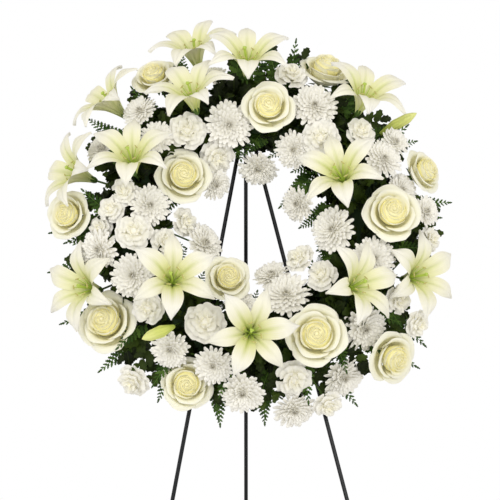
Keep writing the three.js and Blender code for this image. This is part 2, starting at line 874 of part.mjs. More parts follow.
const WIRE_FLAT = WIRE_RADIUS * Math.cos(Math.PI / WIRE_SIDES); // from a wire's axis to its flats
const PIN_RADIUS = 3;
const PIN_FLAT = PIN_RADIUS * Math.cos(Math.PI / WIRE_SIDES);
const LEG_DEPTH = -(WIRE_FLAT + GAP);
const BAR_DEPTH = LEG_DEPTH + 2 * WIRE_FLAT + GAP;
const PIN_DEPTH = LEG_DEPTH - WIRE_FLAT - GAP - PIN_FLAT;
const FLOOR_NORMAL = new THREE.Vector3(0, 0, 1);

// The point where a line in the leaning plane meets the floor.
function footOf(depth, top, bottom) {
  const a = onPlane(top[0], depth, top[1]);
  const b = onPlane(bottom[0], depth, bottom[1]);
  const direction = b.clone().sub(a);
  return a.addScaledVector(direction, -a.z / direction.z);
}

function addFrontLeg(group, name, splay) {
  const bendX = APEX_X + splay * (APEX_RISE - BEND_RISE);
  const lowX = APEX_X + splay * (APEX_RISE + CENTRE_HEIGHT);
  const foot = footOf(LEG_DEPTH, [bendX, BEND_RISE], [lowX, -CENTRE_HEIGHT]);
  const leg = rod(
    [foot, onPlane(bendX, LEG_DEPTH, BEND_RISE), onPlane(bendX, LEG_DEPTH, LEG_TOP)],
    WIRE_RADIUS,
    WIRE_SIDES,
    { startNormal: FLOOR_NORMAL },
  );
  nodeOf(name, leg, "wire", group);
  return bendX;
}

// A bar across both legs, with two wires that rise from it and turn forward into hooks: the ring's
// lower edge sits on the hooks.
function addCradle(group) {
  const hookX = [-72, 88];
  const barX = [-104, 122];
  const outer = RING_RADIUS + FOAM_HALF_WIDTH + GAP + TRAY_WALL;
  const rest = (x) => -Math.sqrt(outer * outer - (Math.abs(x) - WIRE_RADIUS) ** 2) - WIRE_RADIUS - 1;
  const parts = [
    rod([at(barX[0], BAR_DEPTH, CRADLE_RISE), at(barX[1], BAR_DEPTH, CRADLE_RISE)], WIRE_RADIUS, WIRE_SIDES),
    ...hookX.map((x) =>
      rod(
        [
          at(x, BAR_DEPTH + 0.4, CRADLE_RISE),
          at(x, BAR_DEPTH + 0.4, rest(x)),
          at(x, CRADLE_REACH, rest(x)),
          at(x, CRADLE_REACH + 6, rest(x) + 13),
        ],
        WIRE_RADIUS - 0.3,
        WIRE_SIDES,
      ),
    ),
  ];
  nodeOf("easel_cradle_wire", wholeBody(join(parts)), "wire", group);
}

const PIN_RISE = LEG_TOP - 8;

function addHingePin(group, leftX, rightX) {
  const pin = rod(
    [at(leftX - 5, PIN_DEPTH, PIN_RISE), at(rightX + 5, PIN_DEPTH, PIN_RISE)],
    PIN_RADIUS,
    WIRE_SIDES,
  );
  nodeOf("easel_hinge_pin", pin, "wire", group);
}

const EYE_RADIUS = PIN_RADIUS + 0.5;

// The rear leg ends in an eye that turns on the hinge pin.
function addRearLeg(group) {
  const pin = onPlane(APEX_X, PIN_DEPTH, PIN_RISE);
  const down = new THREE.Vector3(0, Math.sin(REAR_LEAN), -Math.cos(REAR_LEAN));
  const start = pin.clone().addScaledVector(down, 7.5);
  const foot = pin.clone().addScaledVector(down, pin.z / Math.cos(REAR_LEAN));
  const shaft = rod([foot, start], WIRE_RADIUS, WIRE_SIDES, { startNormal: FLOOR_NORMAL });
  const eye = latheSolid(
    [
      [EYE_RADIUS, -3],
      [9, -3],
      [9, 3],
      [EYE_RADIUS, 3],
      [EYE_RADIUS, -3],
    ],
    12,
  );
  const turn = new THREE.Matrix4().makeRotationY(Math.PI / 2).setPosition(pin);
  nodeOf("easel_rear_leg", wholeBody(shaft.add(eye.transform(turn.elements))), "wire", group);
}

// Assembly

const wreath = new THREE.Group();
wreath.position.copy(wreathCentre);
wreath.quaternion.copy(leaning);

LILIES.forEach((plan, i) => addBloom(wreath, plan, lilyHead(i), "lily", 1, i));
BUDS.forEach((plan, i) => addBloom(wreath, plan, budHead(), "bud", 1, i));
ROSES.forEach((plan, i) => addBloom(wreath, plan, roseHead(i), "rose", plan.size, i));
for (const [name, heads] of Object.entries(MUM_SPRAYS)) {
  addSpray(wreath, name, heads, mumHead, MUM_RADIUS, "mum");
}
for (const [name, heads] of Object.entries(CARNATION_SPRAYS)) {
  addSpray(wreath, name, heads, carnationHead, CARNATION_RADIUS, "carnation");
}
for (const [name, fronds] of Object.entries(FERNS)) {
  addFern(wreath, name, fronds, name === "fern_inner");
}
addRing(wreath);

const easel = new THREE.Group();
const leftX = addFrontLeg(easel, "easel_left_leg", -LEFT_SPLAY);
const rightX = addFrontLeg(easel, "easel_right_leg", RIGHT_SPLAY);
addRearLeg(easel);
addCradle(wreath);
addHingePin(wreath, leftX, rightX);

const standingWreath = new THREE.Group();
standingWreath.add(easel, wreath);

export default standingWreath;
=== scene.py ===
# %% [markdown]
# A standing funeral wreath: lilies, roses, spray chrysanthemums, spray carnations and leatherleaf
# fern, set in a ring of wet foam on a folding wire easel. The plain solids come from the CAD model.
# This script keeps their places and sizes, and gives each flower its real petals and finish.

# %% Load the frame
import math

import bpy
import numpy as np
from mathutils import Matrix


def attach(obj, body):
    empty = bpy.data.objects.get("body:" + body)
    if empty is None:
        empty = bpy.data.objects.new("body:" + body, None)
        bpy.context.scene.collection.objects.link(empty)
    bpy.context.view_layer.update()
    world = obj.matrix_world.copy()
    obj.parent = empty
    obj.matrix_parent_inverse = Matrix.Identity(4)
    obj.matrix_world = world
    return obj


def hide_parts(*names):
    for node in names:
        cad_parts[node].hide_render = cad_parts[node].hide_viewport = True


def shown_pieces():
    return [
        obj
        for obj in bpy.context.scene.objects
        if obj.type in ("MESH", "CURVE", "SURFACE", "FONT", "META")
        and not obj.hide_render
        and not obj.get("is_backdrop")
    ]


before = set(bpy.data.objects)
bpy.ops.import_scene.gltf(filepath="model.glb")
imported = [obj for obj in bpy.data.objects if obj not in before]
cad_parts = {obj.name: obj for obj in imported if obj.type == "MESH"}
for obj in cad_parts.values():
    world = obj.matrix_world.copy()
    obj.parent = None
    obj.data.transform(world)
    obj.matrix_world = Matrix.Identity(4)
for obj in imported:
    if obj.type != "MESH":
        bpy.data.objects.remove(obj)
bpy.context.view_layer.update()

WREATH_BODY = "wreath_on_frame"

# %% [markdown]
# The wreath leans back on its easel. Everything on it is easiest to describe in the wreath's own
# frame, in millimetres: across, out of its face (depth) and up the slope. One function then turns
# that frame into the world's metres, so a flower stands where its solid stands.

# %% The wreath's own frame
MM = 0.001
LEAN = math.radians(10)
CENTRE = np.array([0.0, -246 + 1000 * math.sin(LEAN), 1000 * math.cos(LEAN)])
RING_RADIUS = 190.0
CORE_DEPTH = 30.0
STEM_END = 17.0
FOAM_HALF_WIDTH = 38.0
Z_AXIS = np.array([0.0, 0.0, 1.0])


def at(across, depth, up):
    return np.array([across, -depth, up], float)


def unit(vector):
    return vector / np.linalg.norm(vector)


def to_world(points):
    x, y, z = np.asarray(points, float).T
    turned = np.stack(
        [x, y * math.cos(LEAN) + z * math.sin(LEAN), -y * math.sin(LEAN) + z * math.cos(LEAN)],
        axis=1,
    )
    return (turned + CENTRE) * MM


def head_place(across, up, rise):
    spread = math.hypot(across, up) - RING_RADIUS
    return at(across, CORE_DEPTH + math.sqrt(max(0.0, rise * rise - spread * spread)), up)


def core_point(place):
    return unit(np.array([place[0], 0, place[2]])) * RING_RADIUS + at(0, CORE_DEPTH, 0)


def facing(direction, spin):
    """The turn that points a head's own +Z along a direction, spun in half turns about it."""
    out = unit(direction)
    across = unit(np.array([1.0, 0, 0]) - out[0] * out)
    basis = np.stack([across, np.cross(out, across), out], axis=1)
    c, s = math.cos(spin * math.pi), math.sin(spin * math.pi)
    return basis @ np.array([[c, -s, 0], [s, c, 0], [0, 0, 1]])


def spray_facing(place):
    return unit(unit(place - core_point(place)) + at(0, 0.9, 0))


def wobble(a, b):
    """A repeatable wobble between -1 and 1."""
    return math.sin(12.9898 * (a + 1) + 78.233 * (b + 1))


print("wreath centre in metres:", CENTRE * MM)

# %% [markdown]
# A node tree is easier to read as sums than as a web of boxes. Socket wraps one output and turns
# + - * / into Math nodes, and Tree.node adds any other node: its settings first, then its sockets.
# The same two classes serve the materials and the geometry trees.


# %% Node trees as expressions
def maths_method(operation, reflected=False):
    def method(self, *others):
        return self.maths(operation, *((*others, self) if reflected else (self, *others)))

    return method


class Socket:
    def __init__(self, tree, socket):
        self.tree = tree
        self.socket = socket

    def maths(self, operation, *values):
        return self.tree.node("ShaderNodeMath", {"operation": operation}, dict(enumerate(values)))

    __add__, __radd__ = maths_method("ADD"), maths_method("ADD", True)
    __sub__, __rsub__ = maths_method("SUBTRACT"), maths_method("SUBTRACT", True)
    __mul__, __rmul__ = maths_method("MULTIPLY"), maths_method("MULTIPLY", True)
    __truediv__, __pow__ = maths_method("DIVIDE"), maths_method("POWER")
    sine, cosine, arccosine = map(maths_method, ("SINE", "COSINE", "ARCCOSINE"))
    floor, absolute, modulo = map(maths_method, ("FLOOR", "ABSOLUTE", "MODULO"))

    def __neg__(self):
        return self * -1.0

    def axis(self, number):
        return self.tree.node("ShaderNodeSeparateXYZ", None, {0: self}, number)

    def between(self, low, high, at_low=0.0, at_high=1.0):
        """Smoothly from one value at low to another at high."""
        return self.tree.node(
            "ShaderNodeMapRange",
            {"interpolation_type": "SMOOTHSTEP"},
            {"Value": self, "From Min": low, "From Max": high, "To Min": at_low, "To Max": at_high},
        )


class Tree:
    def __init__(self, node_tree):
        self.group = node_tree
        self.nodes = node_tree.nodes
        self.links = node_tree.links

    def put(self, socket, value):
        if isinstance(value, Socket):
            self.links.new(value.socket, socket)
        else:
            socket.default_value = value

    def node(self, kind, settings=None, inputs=None, output=0):
        made = self.nodes.new(kind)
        for name, value in (settings or {}).items():
            setattr(made, name, value)
        for key, value in (inputs or {}).items():
            for one in value if isinstance(value, list) else [value]:
                self.put(made.inputs[key], one)
        return Socket(self, made.outputs[output])

    def mix(self, factor, a, b):
        a, b = (colour if isinstance(colour, Socket) else (*colour, 1) for colour in (a, b))
        return self.node("ShaderNodeMix", {"data_type": "RGBA"}, {0: factor, 6: a, 7: b}, 2)

    def vector(self, x=0.0, y=0.0, z=0.0):
        return self.node("ShaderNodeCombineXYZ", None, {0: x, 1: y, 2: z})


# %% [markdown]
# Every petal is a thin shell: a grid of points, thickened along its normals and closed at its rim.
# A Piece gathers such shells, tubes and copies into one mesh. It keeps a petal map, which runs
# across and along each petal, and a tone, one number for each petal, so that no two look the same.


# %% Gather shells into one mesh
class Piece:
    def __init__(self):
        self.points, self.faces, self.maps, self.tones, self.looks = [], [], [], [], []
        self.count = 0

    def add(self, points, faces, petal_map, tone, look=0):
        faces = [np.asarray(f, int) + self.count for f in faces if len(f)]
        self.points.append(np.asarray(points, float))
        self.faces += [(f, look) for f in faces]
        self.maps.append(np.asarray(petal_map, float))
        self.tones.append(np.broadcast_to(np.asarray(tone, float), (len(points),)))
        self.count += len(points)

    def add_turned(self, part, turn, scale, place):
        for points, faces, petal_map, tone, look in part:
            self.add(np.asarray(points) * scale @ turn.T + place, faces, petal_map, tone, look)

    def make(self, name, materials):
        points = to_world(np.concatenate(self.points))
        petal_map = np.concatenate(self.maps)
        mesh = bpy.data.meshes.new(name)
        loops = np.concatenate([f.ravel() for f, _ in self.faces])
        sizes = np.concatenate([np.full(len(f), f.shape[1]) for f, _ in self.faces])
        looks = np.concatenate([np.full(len(f), look) for f, look in self.faces])
        mesh.vertices.add(len(points))
        mesh.vertices.foreach_set("co", points.astype(np.float32).ravel())
        mesh.loops.add(len(loops))
        mesh.loops.foreach_set("vertex_index", loops.astype(np.int32))
        mesh.polygons.add(len(sizes))
        starts = np.concatenate([[0], np.cumsum(sizes)[:-1]])
        mesh.polygons.foreach_set("loop_start", starts.astype(np.int32))
        mesh.polygons.foreach_set("material_index", looks.astype(np.int32))
        mesh.update(calc_edges=True)
        mesh.polygons.foreach_set("use_smooth", np.ones(len(sizes), bool))
        mesh.set_sharp_from_angle(angle=math.radians(80))
        layer = mesh.uv_layers.new(name="petal")
        layer.data.foreach_set("uv", petal_map[loops].astype(np.float32).ravel())
        tones = mesh.attributes.new("tone", "FLOAT", "POINT")
        tones.data.foreach_set("value", np.concatenate(self.tones).astype(np.float32))
        mesh.validate()
        for material in materials:
            mesh.materials.append(material)
        made = bpy.data.objects.new(name, mesh)
        bpy.context.scene.collection.objects.link(made)
        return made


def settle(made, node):
    """Seats a finished piece on the wreath in place of its solid."""
    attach(made, WREATH_BODY)
    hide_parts(node)


def grid_normals(grid):
    along = np.gradient(grid, axis=0)
    across = np.gradient(grid, axis=1)
    normal = np.cross(along, across)
    return normal / np.maximum(np.linalg.norm(normal, axis=2, keepdims=True), 1e-9)


def shell(grid, thickness, tone, look=0):
    """A closed thin shell from a grid of points: rows run from root to tip, columns across."""
    rows, columns = grid.shape[:2]
    offset = grid_normals(grid) * thickness / 2
    inside = np.zeros((rows, columns), bool)
    inside[1:-1, 1:-1] = True
    front = grid + offset * inside[..., None]
    back = grid - offset * inside[..., None]
    index = np.arange(rows * columns).reshape(rows, columns)
    under = index.copy()
    under[inside] = rows * columns + np.arange(inside.sum())
    points = np.concatenate([front.reshape(-1, 3), back[inside]])
    s, u = np.meshgrid(np.linspace(0, 1, rows), np.linspace(0, 1, columns), indexing="ij")
    petal_map = np.stack([u, s], axis=-1)
    petal_map = np.concatenate([petal_map.reshape(-1, 2), petal_map[inside]])

    def quads(table):
        corners = [table[:-1, :-1], table[1:, :-1], table[1:, 1:], table[:-1, 1:]]
        return np.stack(corners, axis=-1).reshape(-1, 4)

    return (points, [quads(index), quads(under)[:, ::-1]], petal_map, tone, look)


def tube(path, radii, look=0, tone=0.5, sides=7):
    """A round stem, filament or wire along a path, closed at both ends."""
    path = np.asarray(path, float)
    tangents = np.gradient(path, axis=0)
    rings = []
    side = None
    for place, tangent, radius in zip(path, tangents, np.broadcast_to(radii, len(path))):
        tangent = unit(tangent)
        if side is None:
            helper = np.array([1.0, 0, 0]) if abs(tangent[0]) < 0.8 else np.array([0, 1.0, 0])
            side = np.cross(helper, tangent)
        side = unit(side - tangent * np.dot(side, tangent))
        over = np.cross(tangent, side)
        turn = np.linspace(0, 2 * math.pi, sides, endpoint=False)[:, None]
        rings.append(place + radius * (np.cos(turn) * side + np.sin(turn) * over))
    points = np.concatenate([*rings, path[:1], path[-1:]])
    i = np.arange(sides)
    j = (i + 1) % sides
    low = np.arange(len(path) - 1)[:, None] * sides
    high = low + sides
    walls = np.stack([low + i, low + j, high + j, high + i], axis=-1).reshape(-1, 4)
    first, last, end = len(points) - 2, len(points) - 1, (len(path) - 1) * sides
    caps = [np.stack([i * 0 + first, j, i], axis=1), np.stack([i * 0 + last, end + i, end + j], axis=1)]
    v = np.concatenate([np.repeat(np.linspace(0, 1, len(path)), sides), [0, 1]])
    petal_map = np.stack([v * 0 + 0.5, v], axis=1)
    return (points, [walls, np.concatenate(caps)], petal_map, tone, look)


def egg(centre, axis, length, width, look):
    """A small closed egg, such as an anther, along an axis."""
    s = np.linspace(0.04, math.pi - 0.04, 6)
    path = centre + np.outer(-np.cos(s) * length / 2, unit(axis))
    return tube(path, np.sin(s) * width / 2, look, sides=8)


# %% [markdown]
# The flower plan gives each bloom's place as a florist would set it: across and up from the
# wreath's centre, the rise of its base above the foam's core, and how far it leans right and high.
# The numbers are those of the CAD solids, so each fine bloom stands in its solid's place. A rose
# ends with its size and a lily with its spin. Each head of a spray ends with its radius, and each
# fern frond goes from an angle of the ring to a tip.

# %% The flower plan
LILIES = {
    "upper_left": (-86, 174, 78, -0.3, 0.9, 0.0),
    "left": (-185, 72, 84, -0.1, 0.62, 0.14),
    "top": (-5, 237, 74, 0.05, 0.84, 0.167),
    "right": (152, 52, 84, -0.23, 0.37, 0.222),
    "upper_right": (174, 178, 78, 0.4, 0.85, 0.167),
    "lower_left": (-124, -110, 88, 0.1, 0.15, 0.167),
    "bottom": (-1, -187, 88, 0.1, -0.1, 0.05),
    "lower_right": (146, -118, 82, 0.75, 0.15, 0.11),
    "far_right": (248, -86, 72, 0.7, 0.0, 0.18),
    "far_left": (-243, -104, 74, -0.8, 0.0, 0.167),
    "rim_upper_left": (-205, 185, 66, -1.6, 1.3, 0.0),
    "rim_left": (-255, 78, 66, -1.6, 0.45, 0.17),
    "rim_top": (-84, 264, 62, -0.35, 1.2, 0.03),
}
BUDS = {
    "right": (218, 158, 62, 1.7, 0.8, 0.0),
    "left": (-123, -176, 84, -1.0, -0.55, 0.0),
}
ROSES = {
    "left": (-110, 72, 66, 0.1, 0.05, 1.0),
    "far_left": (-285, 16, 88, -0.5, 0.0, 0.9),
    "upper_left": (-152, 238, 78, -0.3, 0.6, 0.86),
    "top": (30, 178, 62, 0.0, 0.1, 0.96),
    "upper_right": (118, 240, 66, 0.4, 1.2, 1.0),
    "right": (222, 3, 66, 0.15, 0.15, 1.05),
    "far_right": (268, 84, 78, 1.1, 0.4, 0.86),
    "lower_right": (215, -208, 70, 0.7, -0.45, 1.0),
    "bottom_right": (104, -190, 66, 0.0, 0.0, 1.1),
    "inner": (-40, -96, 90, 0.2, 0.15, 0.86),
    "lower_left": (-220, -163, 76, -0.35, 0.1, 1.12),
    "bottom": (-101, -256, 80, 0.0, -0.15, 0.96),
}
MUM_SPRAYS = {
    "top": [(-34, 158, 62, 34), (-62, 248, 66, 22)],
    "inner_top": [(14, 101, 88, 28), (-58, 67, 104, 22)],
    "upper_right": [(104, 187, 58, 33), (72, 120, 68, 27)],
    "right": [(214, 102, 66, 28), (243, 54, 66, 25), (234, 132, 86, 22), (283, 20, 98, 22)],
    "inner_right": [(80, 34, 106, 25), (136, -14, 70, 32), (197, -64, 62, 31)],
    "lower_right": [(181, -168, 60, 33), (149, -243, 86, 31)],
    "bottom": [(-12, -272, 88, 31), (-58, -232, 70, 27), (-126, -205, 66, 27), (70, -296, 112, 29)],
    "inner_bottom": [(59, -123, 70, 34), (37, -86, 98, 26), (-14, -137, 62, 23)],
    "far_left": [(-240, -46, 70, 29), (-186, -90, 58, 31)],
    "inner_left": [(-77, -32, 108, 29), (-162, 24, 62, 29)],
    "upper_left": [(-150, 134, 62, 24), (-178, 182, 76, 25), (-240, 126, 82, 25)],
}
CARNATION_SPRAYS = {
    "upper_left": [(-102, 146, 56, 26), (-57, 116, 66, 25)],
    "left": [(-200, 45, 56, 20), (-220, 18, 58, 19), (-236, -8, 54, 19)],
    "inner_left": [(-186, -20, 56, 26), (-112, 2, 82, 20), (-140, -36, 66, 20)],
    "upper_right": [(66, 238, 66, 23), (115, 134, 58, 26), (176, 144, 58, 21)],
    "right": [(286, -22, 97, 19), (232, -122, 76, 21), (264, -158, 118, 20)],
    "inner_right": [(85, -62, 90, 21), (118, -92, 62, 22)],
    "lower_left": [(-160, -142, 58, 22), (-72, -168, 56, 28), (-182, -246, 114, 24)],
    "bottom": [(67, -246, 72, 26), (122, -284, 118, 21)],
}
FERNS = {
    "upper_left": [(118, -112, 300, 0), (132, -196, 252, 4), (146, -272, 190, 4)],
    "left": [
        (178, -333, -6, 4), (193, -333, -72, 6), (212, -312, -158, 8), (226, -248, -237, 6),
        (240, -150, -286, 8),
    ],
    "bottom": [(257, -48, -327, 10), (275, 24, -324, 8)],
    "lower_right": [(297, 176, -291, -8), (314, 277, -230, 4), (330, 288, -196, 10)],
    "right": [(358, 311, 19, 6), (9, 334, 46, 4), (32, 279, 150, 6)],
    "upper_right": [(53, 192, 262, 6), (72, 74, 300, 4)],
    "inner": [(-30, 112, -45, 20), (14, 79, 0, 14), (40, 46, 32, 20)],
}
print("lilies", len(LILIES), "roses", len(ROSES))

# %% [markdown]
# A petal is never one colour. It is tinted green or yellow where it leaves the throat, it pales
# towards its rim, and fine veins run along it. All three are read from the petal map. Light also
# passes into a petal, so the shader has a little subsurface scattering, set once on its socket.


# %% A shader tree with its surface
def new_finish(name, roughness, subsurface=0.0):
    material = bpy.data.materials.new(name)
    material.use_nodes = True
    tree = Tree(material.node_tree)
    surface = material.node_tree.nodes["Principled BSDF"]
    surface.inputs["Roughness"].default_value = roughness
    if subsurface:
        surface.inputs["Subsurface Weight"].default_value = subsurface
        surface.inputs["Subsurface Radius"].default_value = (1.0, 0.97, 0.85)
        surface.inputs["Subsurface Scale"].default_value = 0.0012
    return material, tree, surface


def petal_coordinates(tree):
    petal_map = tree.node("ShaderNodeUVMap", {"uv_map": "petal"})
    tone = tree.node("ShaderNodeAttribute", {"attribute_name": "tone"}, None, "Fac")
    return petal_map.axis(0), petal_map.axis(1), tone


def noise(tree, place, scale, detail=2.0):
    inputs = {"Vector": place, "Scale": scale, "Detail": detail}
    return tree.node("ShaderNodeTexNoise", None, inputs)


def own_noise(tree, scale, detail=2.0):
    """Noise that keeps its place on the object."""
    return noise(tree, tree.node("ShaderNodeTexCoord", None, None, "Object"), scale, detail)


def put_bump(tree, surface, height, strength, distance):
    inputs = {"Strength": strength, "Distance": distance, "Height": height}
    tree.put(surface.inputs["Normal"], tree.node("ShaderNodeBump", None, inputs))


def petal_finish(
    name, rim, body, throat, reach, roughness, midrib=None, heart=None, glow=None, subsurface=0.15,
    veins=0.0, relief=0.001,
):
    """rim, body and throat are colours, and reach is where along the petal the throat's tint ends.
    glow is a softer tint round it. heart is the colour of the innermost petals, whose tone is 1."""
    material, tree, surface = new_finish(name, roughness, subsurface)
    across, along, tone = petal_coordinates(tree)
    colour = tree.mix(along.between(0.4, 1.0), body, rim)
    if glow:
        colour = tree.mix(along.between(0.12, 0.66, 0.9, 0.0), colour, glow)
    colour = tree.mix(along.between(0.0, reach, 1.0, 0.0), colour, throat)
    centred = (across - 0.5).absolute()
    if midrib:
        stripe = centred.between(0.02, 0.16, 1.0, 0.0) * along.between(0.3, 0.8, 1.0, 0.0)
        colour = tree.mix(stripe * 0.6, colour, midrib)
    if veins:
        lines = (across * 69.0).cosine().between(0.3, 1.0) * along.between(0.35, 0.95, 1.0, 0.0)
        colour = tree.mix(lines * veins, colour, glow)
    if heart:
        colour = tree.mix(tone * (1.0 - along * 0.72), colour, heart)
    else:
        colour = tree.mix(tone * 0.35, colour, body)
    spot = tree.vector(across * 22.0, along * 1.5, tone * 9.0)
    grain = noise(tree, spot, 1.0, 3.0)
    colour = tree.mix(grain.between(0.35, 0.75) * 0.22, colour, body)
    tree.put(surface.inputs["Base Color"], colour)
    put_bump(tree, surface, grain, 0.5, relief)
    tree.put(surface.inputs["Roughness"], grain * 0.12 + (roughness - 0.06))
    return material


LILY_PETAL = petal_finish(
    "lily_petal", (0.94, 0.92, 0.86), (0.90, 0.87, 0.67), (0.30, 0.41, 0.03), 0.29, 0.45,
    midrib=(0.52, 0.60, 0.10), glow=(0.81, 0.83, 0.27), veins=0.35,
)
ROSE_PETAL = petal_finish(
    "rose_petal", (0.97, 0.95, 0.81), (0.99, 0.96, 0.71), (1.00, 0.96, 0.60), 0.5, 0.5,
    heart=(1.0, 0.90, 0.32), subsurface=0.2, relief=0.0003,
)
# The chrysanthemum's throat tint is partly the cream base of its florets and partly painted shade. It
# darkens each floret's base where it sits in the crevices between the others.
MUM_PETAL = petal_finish(
    "chrysanthemum_petal", (1.0, 0.98, 0.93), (1.0, 0.98, 0.90), (0.78, 0.72, 0.46), 0.34, 0.55,
    heart=(0.14, 0.11, 0.03), subsurface=0.0, relief=0.0001,
)
CARNATION_PETAL = petal_finish(
    "carnation_petal", (0.97, 0.95, 0.89), (0.97, 0.95, 0.84), (0.92, 0.88, 0.60), 0.5, 0.6,
    heart=(0.96, 0.92, 0.72), subsurface=0.08, relief=0.0003,
)
BUD_PETAL = petal_finish(
    "lily_bud_petal", (0.86, 0.88, 0.36), (0.80, 0.86, 0.22), (0.42, 0.55, 0.07), 0.4, 0.4,
    midrib=(0.48, 0.64, 0.05),
)


def plant_finish(name, dark, light, roughness):
    material, tree, surface = new_finish(name, roughness)
    surface.inputs["Specular IOR Level"].default_value = 0.15
    across, along, tone = petal_coordinates(tree)
    centred = (across - 0.5).absolute()
    patches = own_noise(tree, 55.0, 3.0)
    colour = tree.mix((patches * 0.5 + tone * 0.7) ** 2.0, dark, light)
    colour = tree.mix(centred.between(0.0, 0.06, 1.0, 0.0) * 0.35, colour, light)
    tree.put(surface.inputs["Base Color"], colour)
    put_bump(tree, surface, patches + (centred * 70.0 + along * 60.0).sine() * 0.3, 0.4, 0.0006)
    return material


# The cover leaves run at random from near black to mid green. Their near-black end is painted shade: it
# stands for the deep shade in the gaps between the flowers.
LEAF_GREEN_AND_PAINTED_SHADE = plant_finish("leaf_green_and_painted_shade", (0.001, 0.002, 0.0005), (0.055, 0.090, 0.012), 0.5)
FERN = plant_finish("fern_green", (0.014, 0.045, 0.005), (0.120, 0.220, 0.035), 0.45)
STEM = plant_finish("stem_green", (0.035, 0.08, 0.015), (0.09, 0.16, 0.03), 0.5)
PISTIL = plant_finish("pistil_green", (0.40, 0.56, 0.06), (0.62, 0.76, 0.18), 0.4)
POLLEN = plant_finish("anther_cream", (0.46, 0.42, 0.12), (0.66, 0.60, 0.26), 0.8)
print("petal and leaf finishes made")

# %% [markdown]
# An open lily is six tepals on a throat: three broad inner ones and three slimmer outer ones. Each
# climbs out of the throat, arches and rolls back at its tip. One formula gives every point of a
# tepal from s, throat to tip, and u, edge to edge. It is the solid's formula, with a finer grid and
# a waved edge.


# %% Lilies
TEPAL_THICKNESS = 0.9


def turned_about_z(out, side, high, turn):
    c, s = math.cos(turn), math.sin(turn)
    return np.stack([out * c - side * s, out * s + side * c, high], axis=-1)


def tepal_point(s, u, inner, lily, k):
    reach = 3 + 73 * s**1.35
    height = 62 * np.sin(2.2 * s) - (0 if inner else 3)
    slope_r = 1.35 * 73 * np.maximum(s, 0.02) ** 0.35
    slope_z = 2.2 * 62 * np.cos(2.2 * s)
    length = np.hypot(slope_r, slope_z)
    width = (17.5 if inner else 14.5) * np.sin(np.pi * s) ** 0.8 * (0.62 + 0.74 * s) * (1 - 0.5 * s**6)
    lift = 7 * (1 - 1.6 * s) * u * u
    lift = lift + 1.5 * np.sin(13 * s + 3 * wobble(lily, k) + u) * np.abs(u) ** 3 * s
    channel = 1.7 * np.exp(-((u / 0.14) ** 2)) - 1.4 * np.exp(-(((np.abs(u) - 0.34) / 0.17) ** 2))
    lift = lift - channel * (1 - 0.55 * s)
    r = reach - slope_z / length * lift
    z = height + slope_r / length * lift - 6 * wobble(lily, k) * s * s
    side = u * width + 5 * wobble(lily + 7, k + 3) * s * s
    turn = k * math.pi / 3 + 0.07 * wobble(lily + 3, k)
    return turned_about_z(r, side, z, turn)


def lily_parts(lily):
    parts = []
    s, u = np.meshgrid(np.linspace(0.02, 0.985, 20), np.linspace(-1, 1, 13), indexing="ij")
    for k in range(6):
        tone = 0.5 + 0.5 * wobble(lily, k + 40)
        parts.append(shell(tepal_point(s, u, k % 2 == 0, lily, k), TEPAL_THICKNESS, tone))
    parts.append(egg(np.array([0, 0, 4.0]), Z_AXIS, 20, 12, 1))
    bow = np.linspace(0, 1, 9)
    lean = np.array([5 * wobble(lily, 20), 5 * wobble(lily, 21)])
    style = np.stack([lean[0] * bow**2, lean[1] * bow**2, 8 + 49 * bow], axis=1)
    parts.append(tube(style, np.interp(bow, [0, 0.25, 0.4, 1], [2.8, 2.6, 1.5, 1.7]), 2))
    for i in range(3):
        turn = 2 * math.pi * i / 3
        lobe = style[-1] + np.array([1.4 * math.cos(turn), 1.4 * math.sin(turn), 0.3])
        parts.append(egg(lobe, lobe - style[-2], 4.6, 4.4, 2))
    for k in range(6):
        turn = (k + 0.5) * math.pi / 3
        out = np.array([math.cos(turn), math.sin(turn), 0])
        thread = np.outer(1.2 + 13.5 * bow**1.6, out) + np.outer(9 + 38 * bow, Z_AXIS)
        parts.append(tube(thread, np.linspace(1.1, 0.6, 9), 2, sides=5))
        swing = unit(np.cross(out, Z_AXIS) + 0.5 * wobble(lily, k + 9) * out)
        parts.append(egg(thread[-1] + np.array([0, 0, 0.6]), swing, 9, 2.4, 3))
    return parts


STEM_RADIUS = 1.7
FOAM_ENTRY = 40


def set_bloom(name, plan, parts, spin, size, materials):
    """Turns a head its own way, runs its stem into the foam and seats it in its solid's place."""
    across, up, rise, right, high, _ = plan
    bloom = Piece()
    place = head_place(across, up, rise)
    bloom.add_turned(parts, facing(at(right, 1, high), spin), size, place)
    core = core_point(place)
    inwards = unit(place - core)
    path = [place, core + inwards * FOAM_ENTRY, core + inwards * STEM_END]
    bloom.add(*tube(path, STEM_RADIUS, 1))
    settle(bloom.make(name + "_bloom", materials), name)


LILY_FINISHES = [LILY_PETAL, STEM, PISTIL, POLLEN]
for number, (name, plan) in enumerate(LILIES.items()):
    set_bloom("lily_" + name, plan, lily_parts(number), plan[5], 1.0, LILY_FINISHES)
print("lilies made:", len(LILIES))

# %% [markdown]
# A closed lily bud is a slim body with six grooves, where the folded tepals meet. It is turned
# like a pot on a wheel, and the grooves are a small dip in its radius, six times round.


# %% Buds
BUD_RINGS = 34
BUD_SIDES = 48


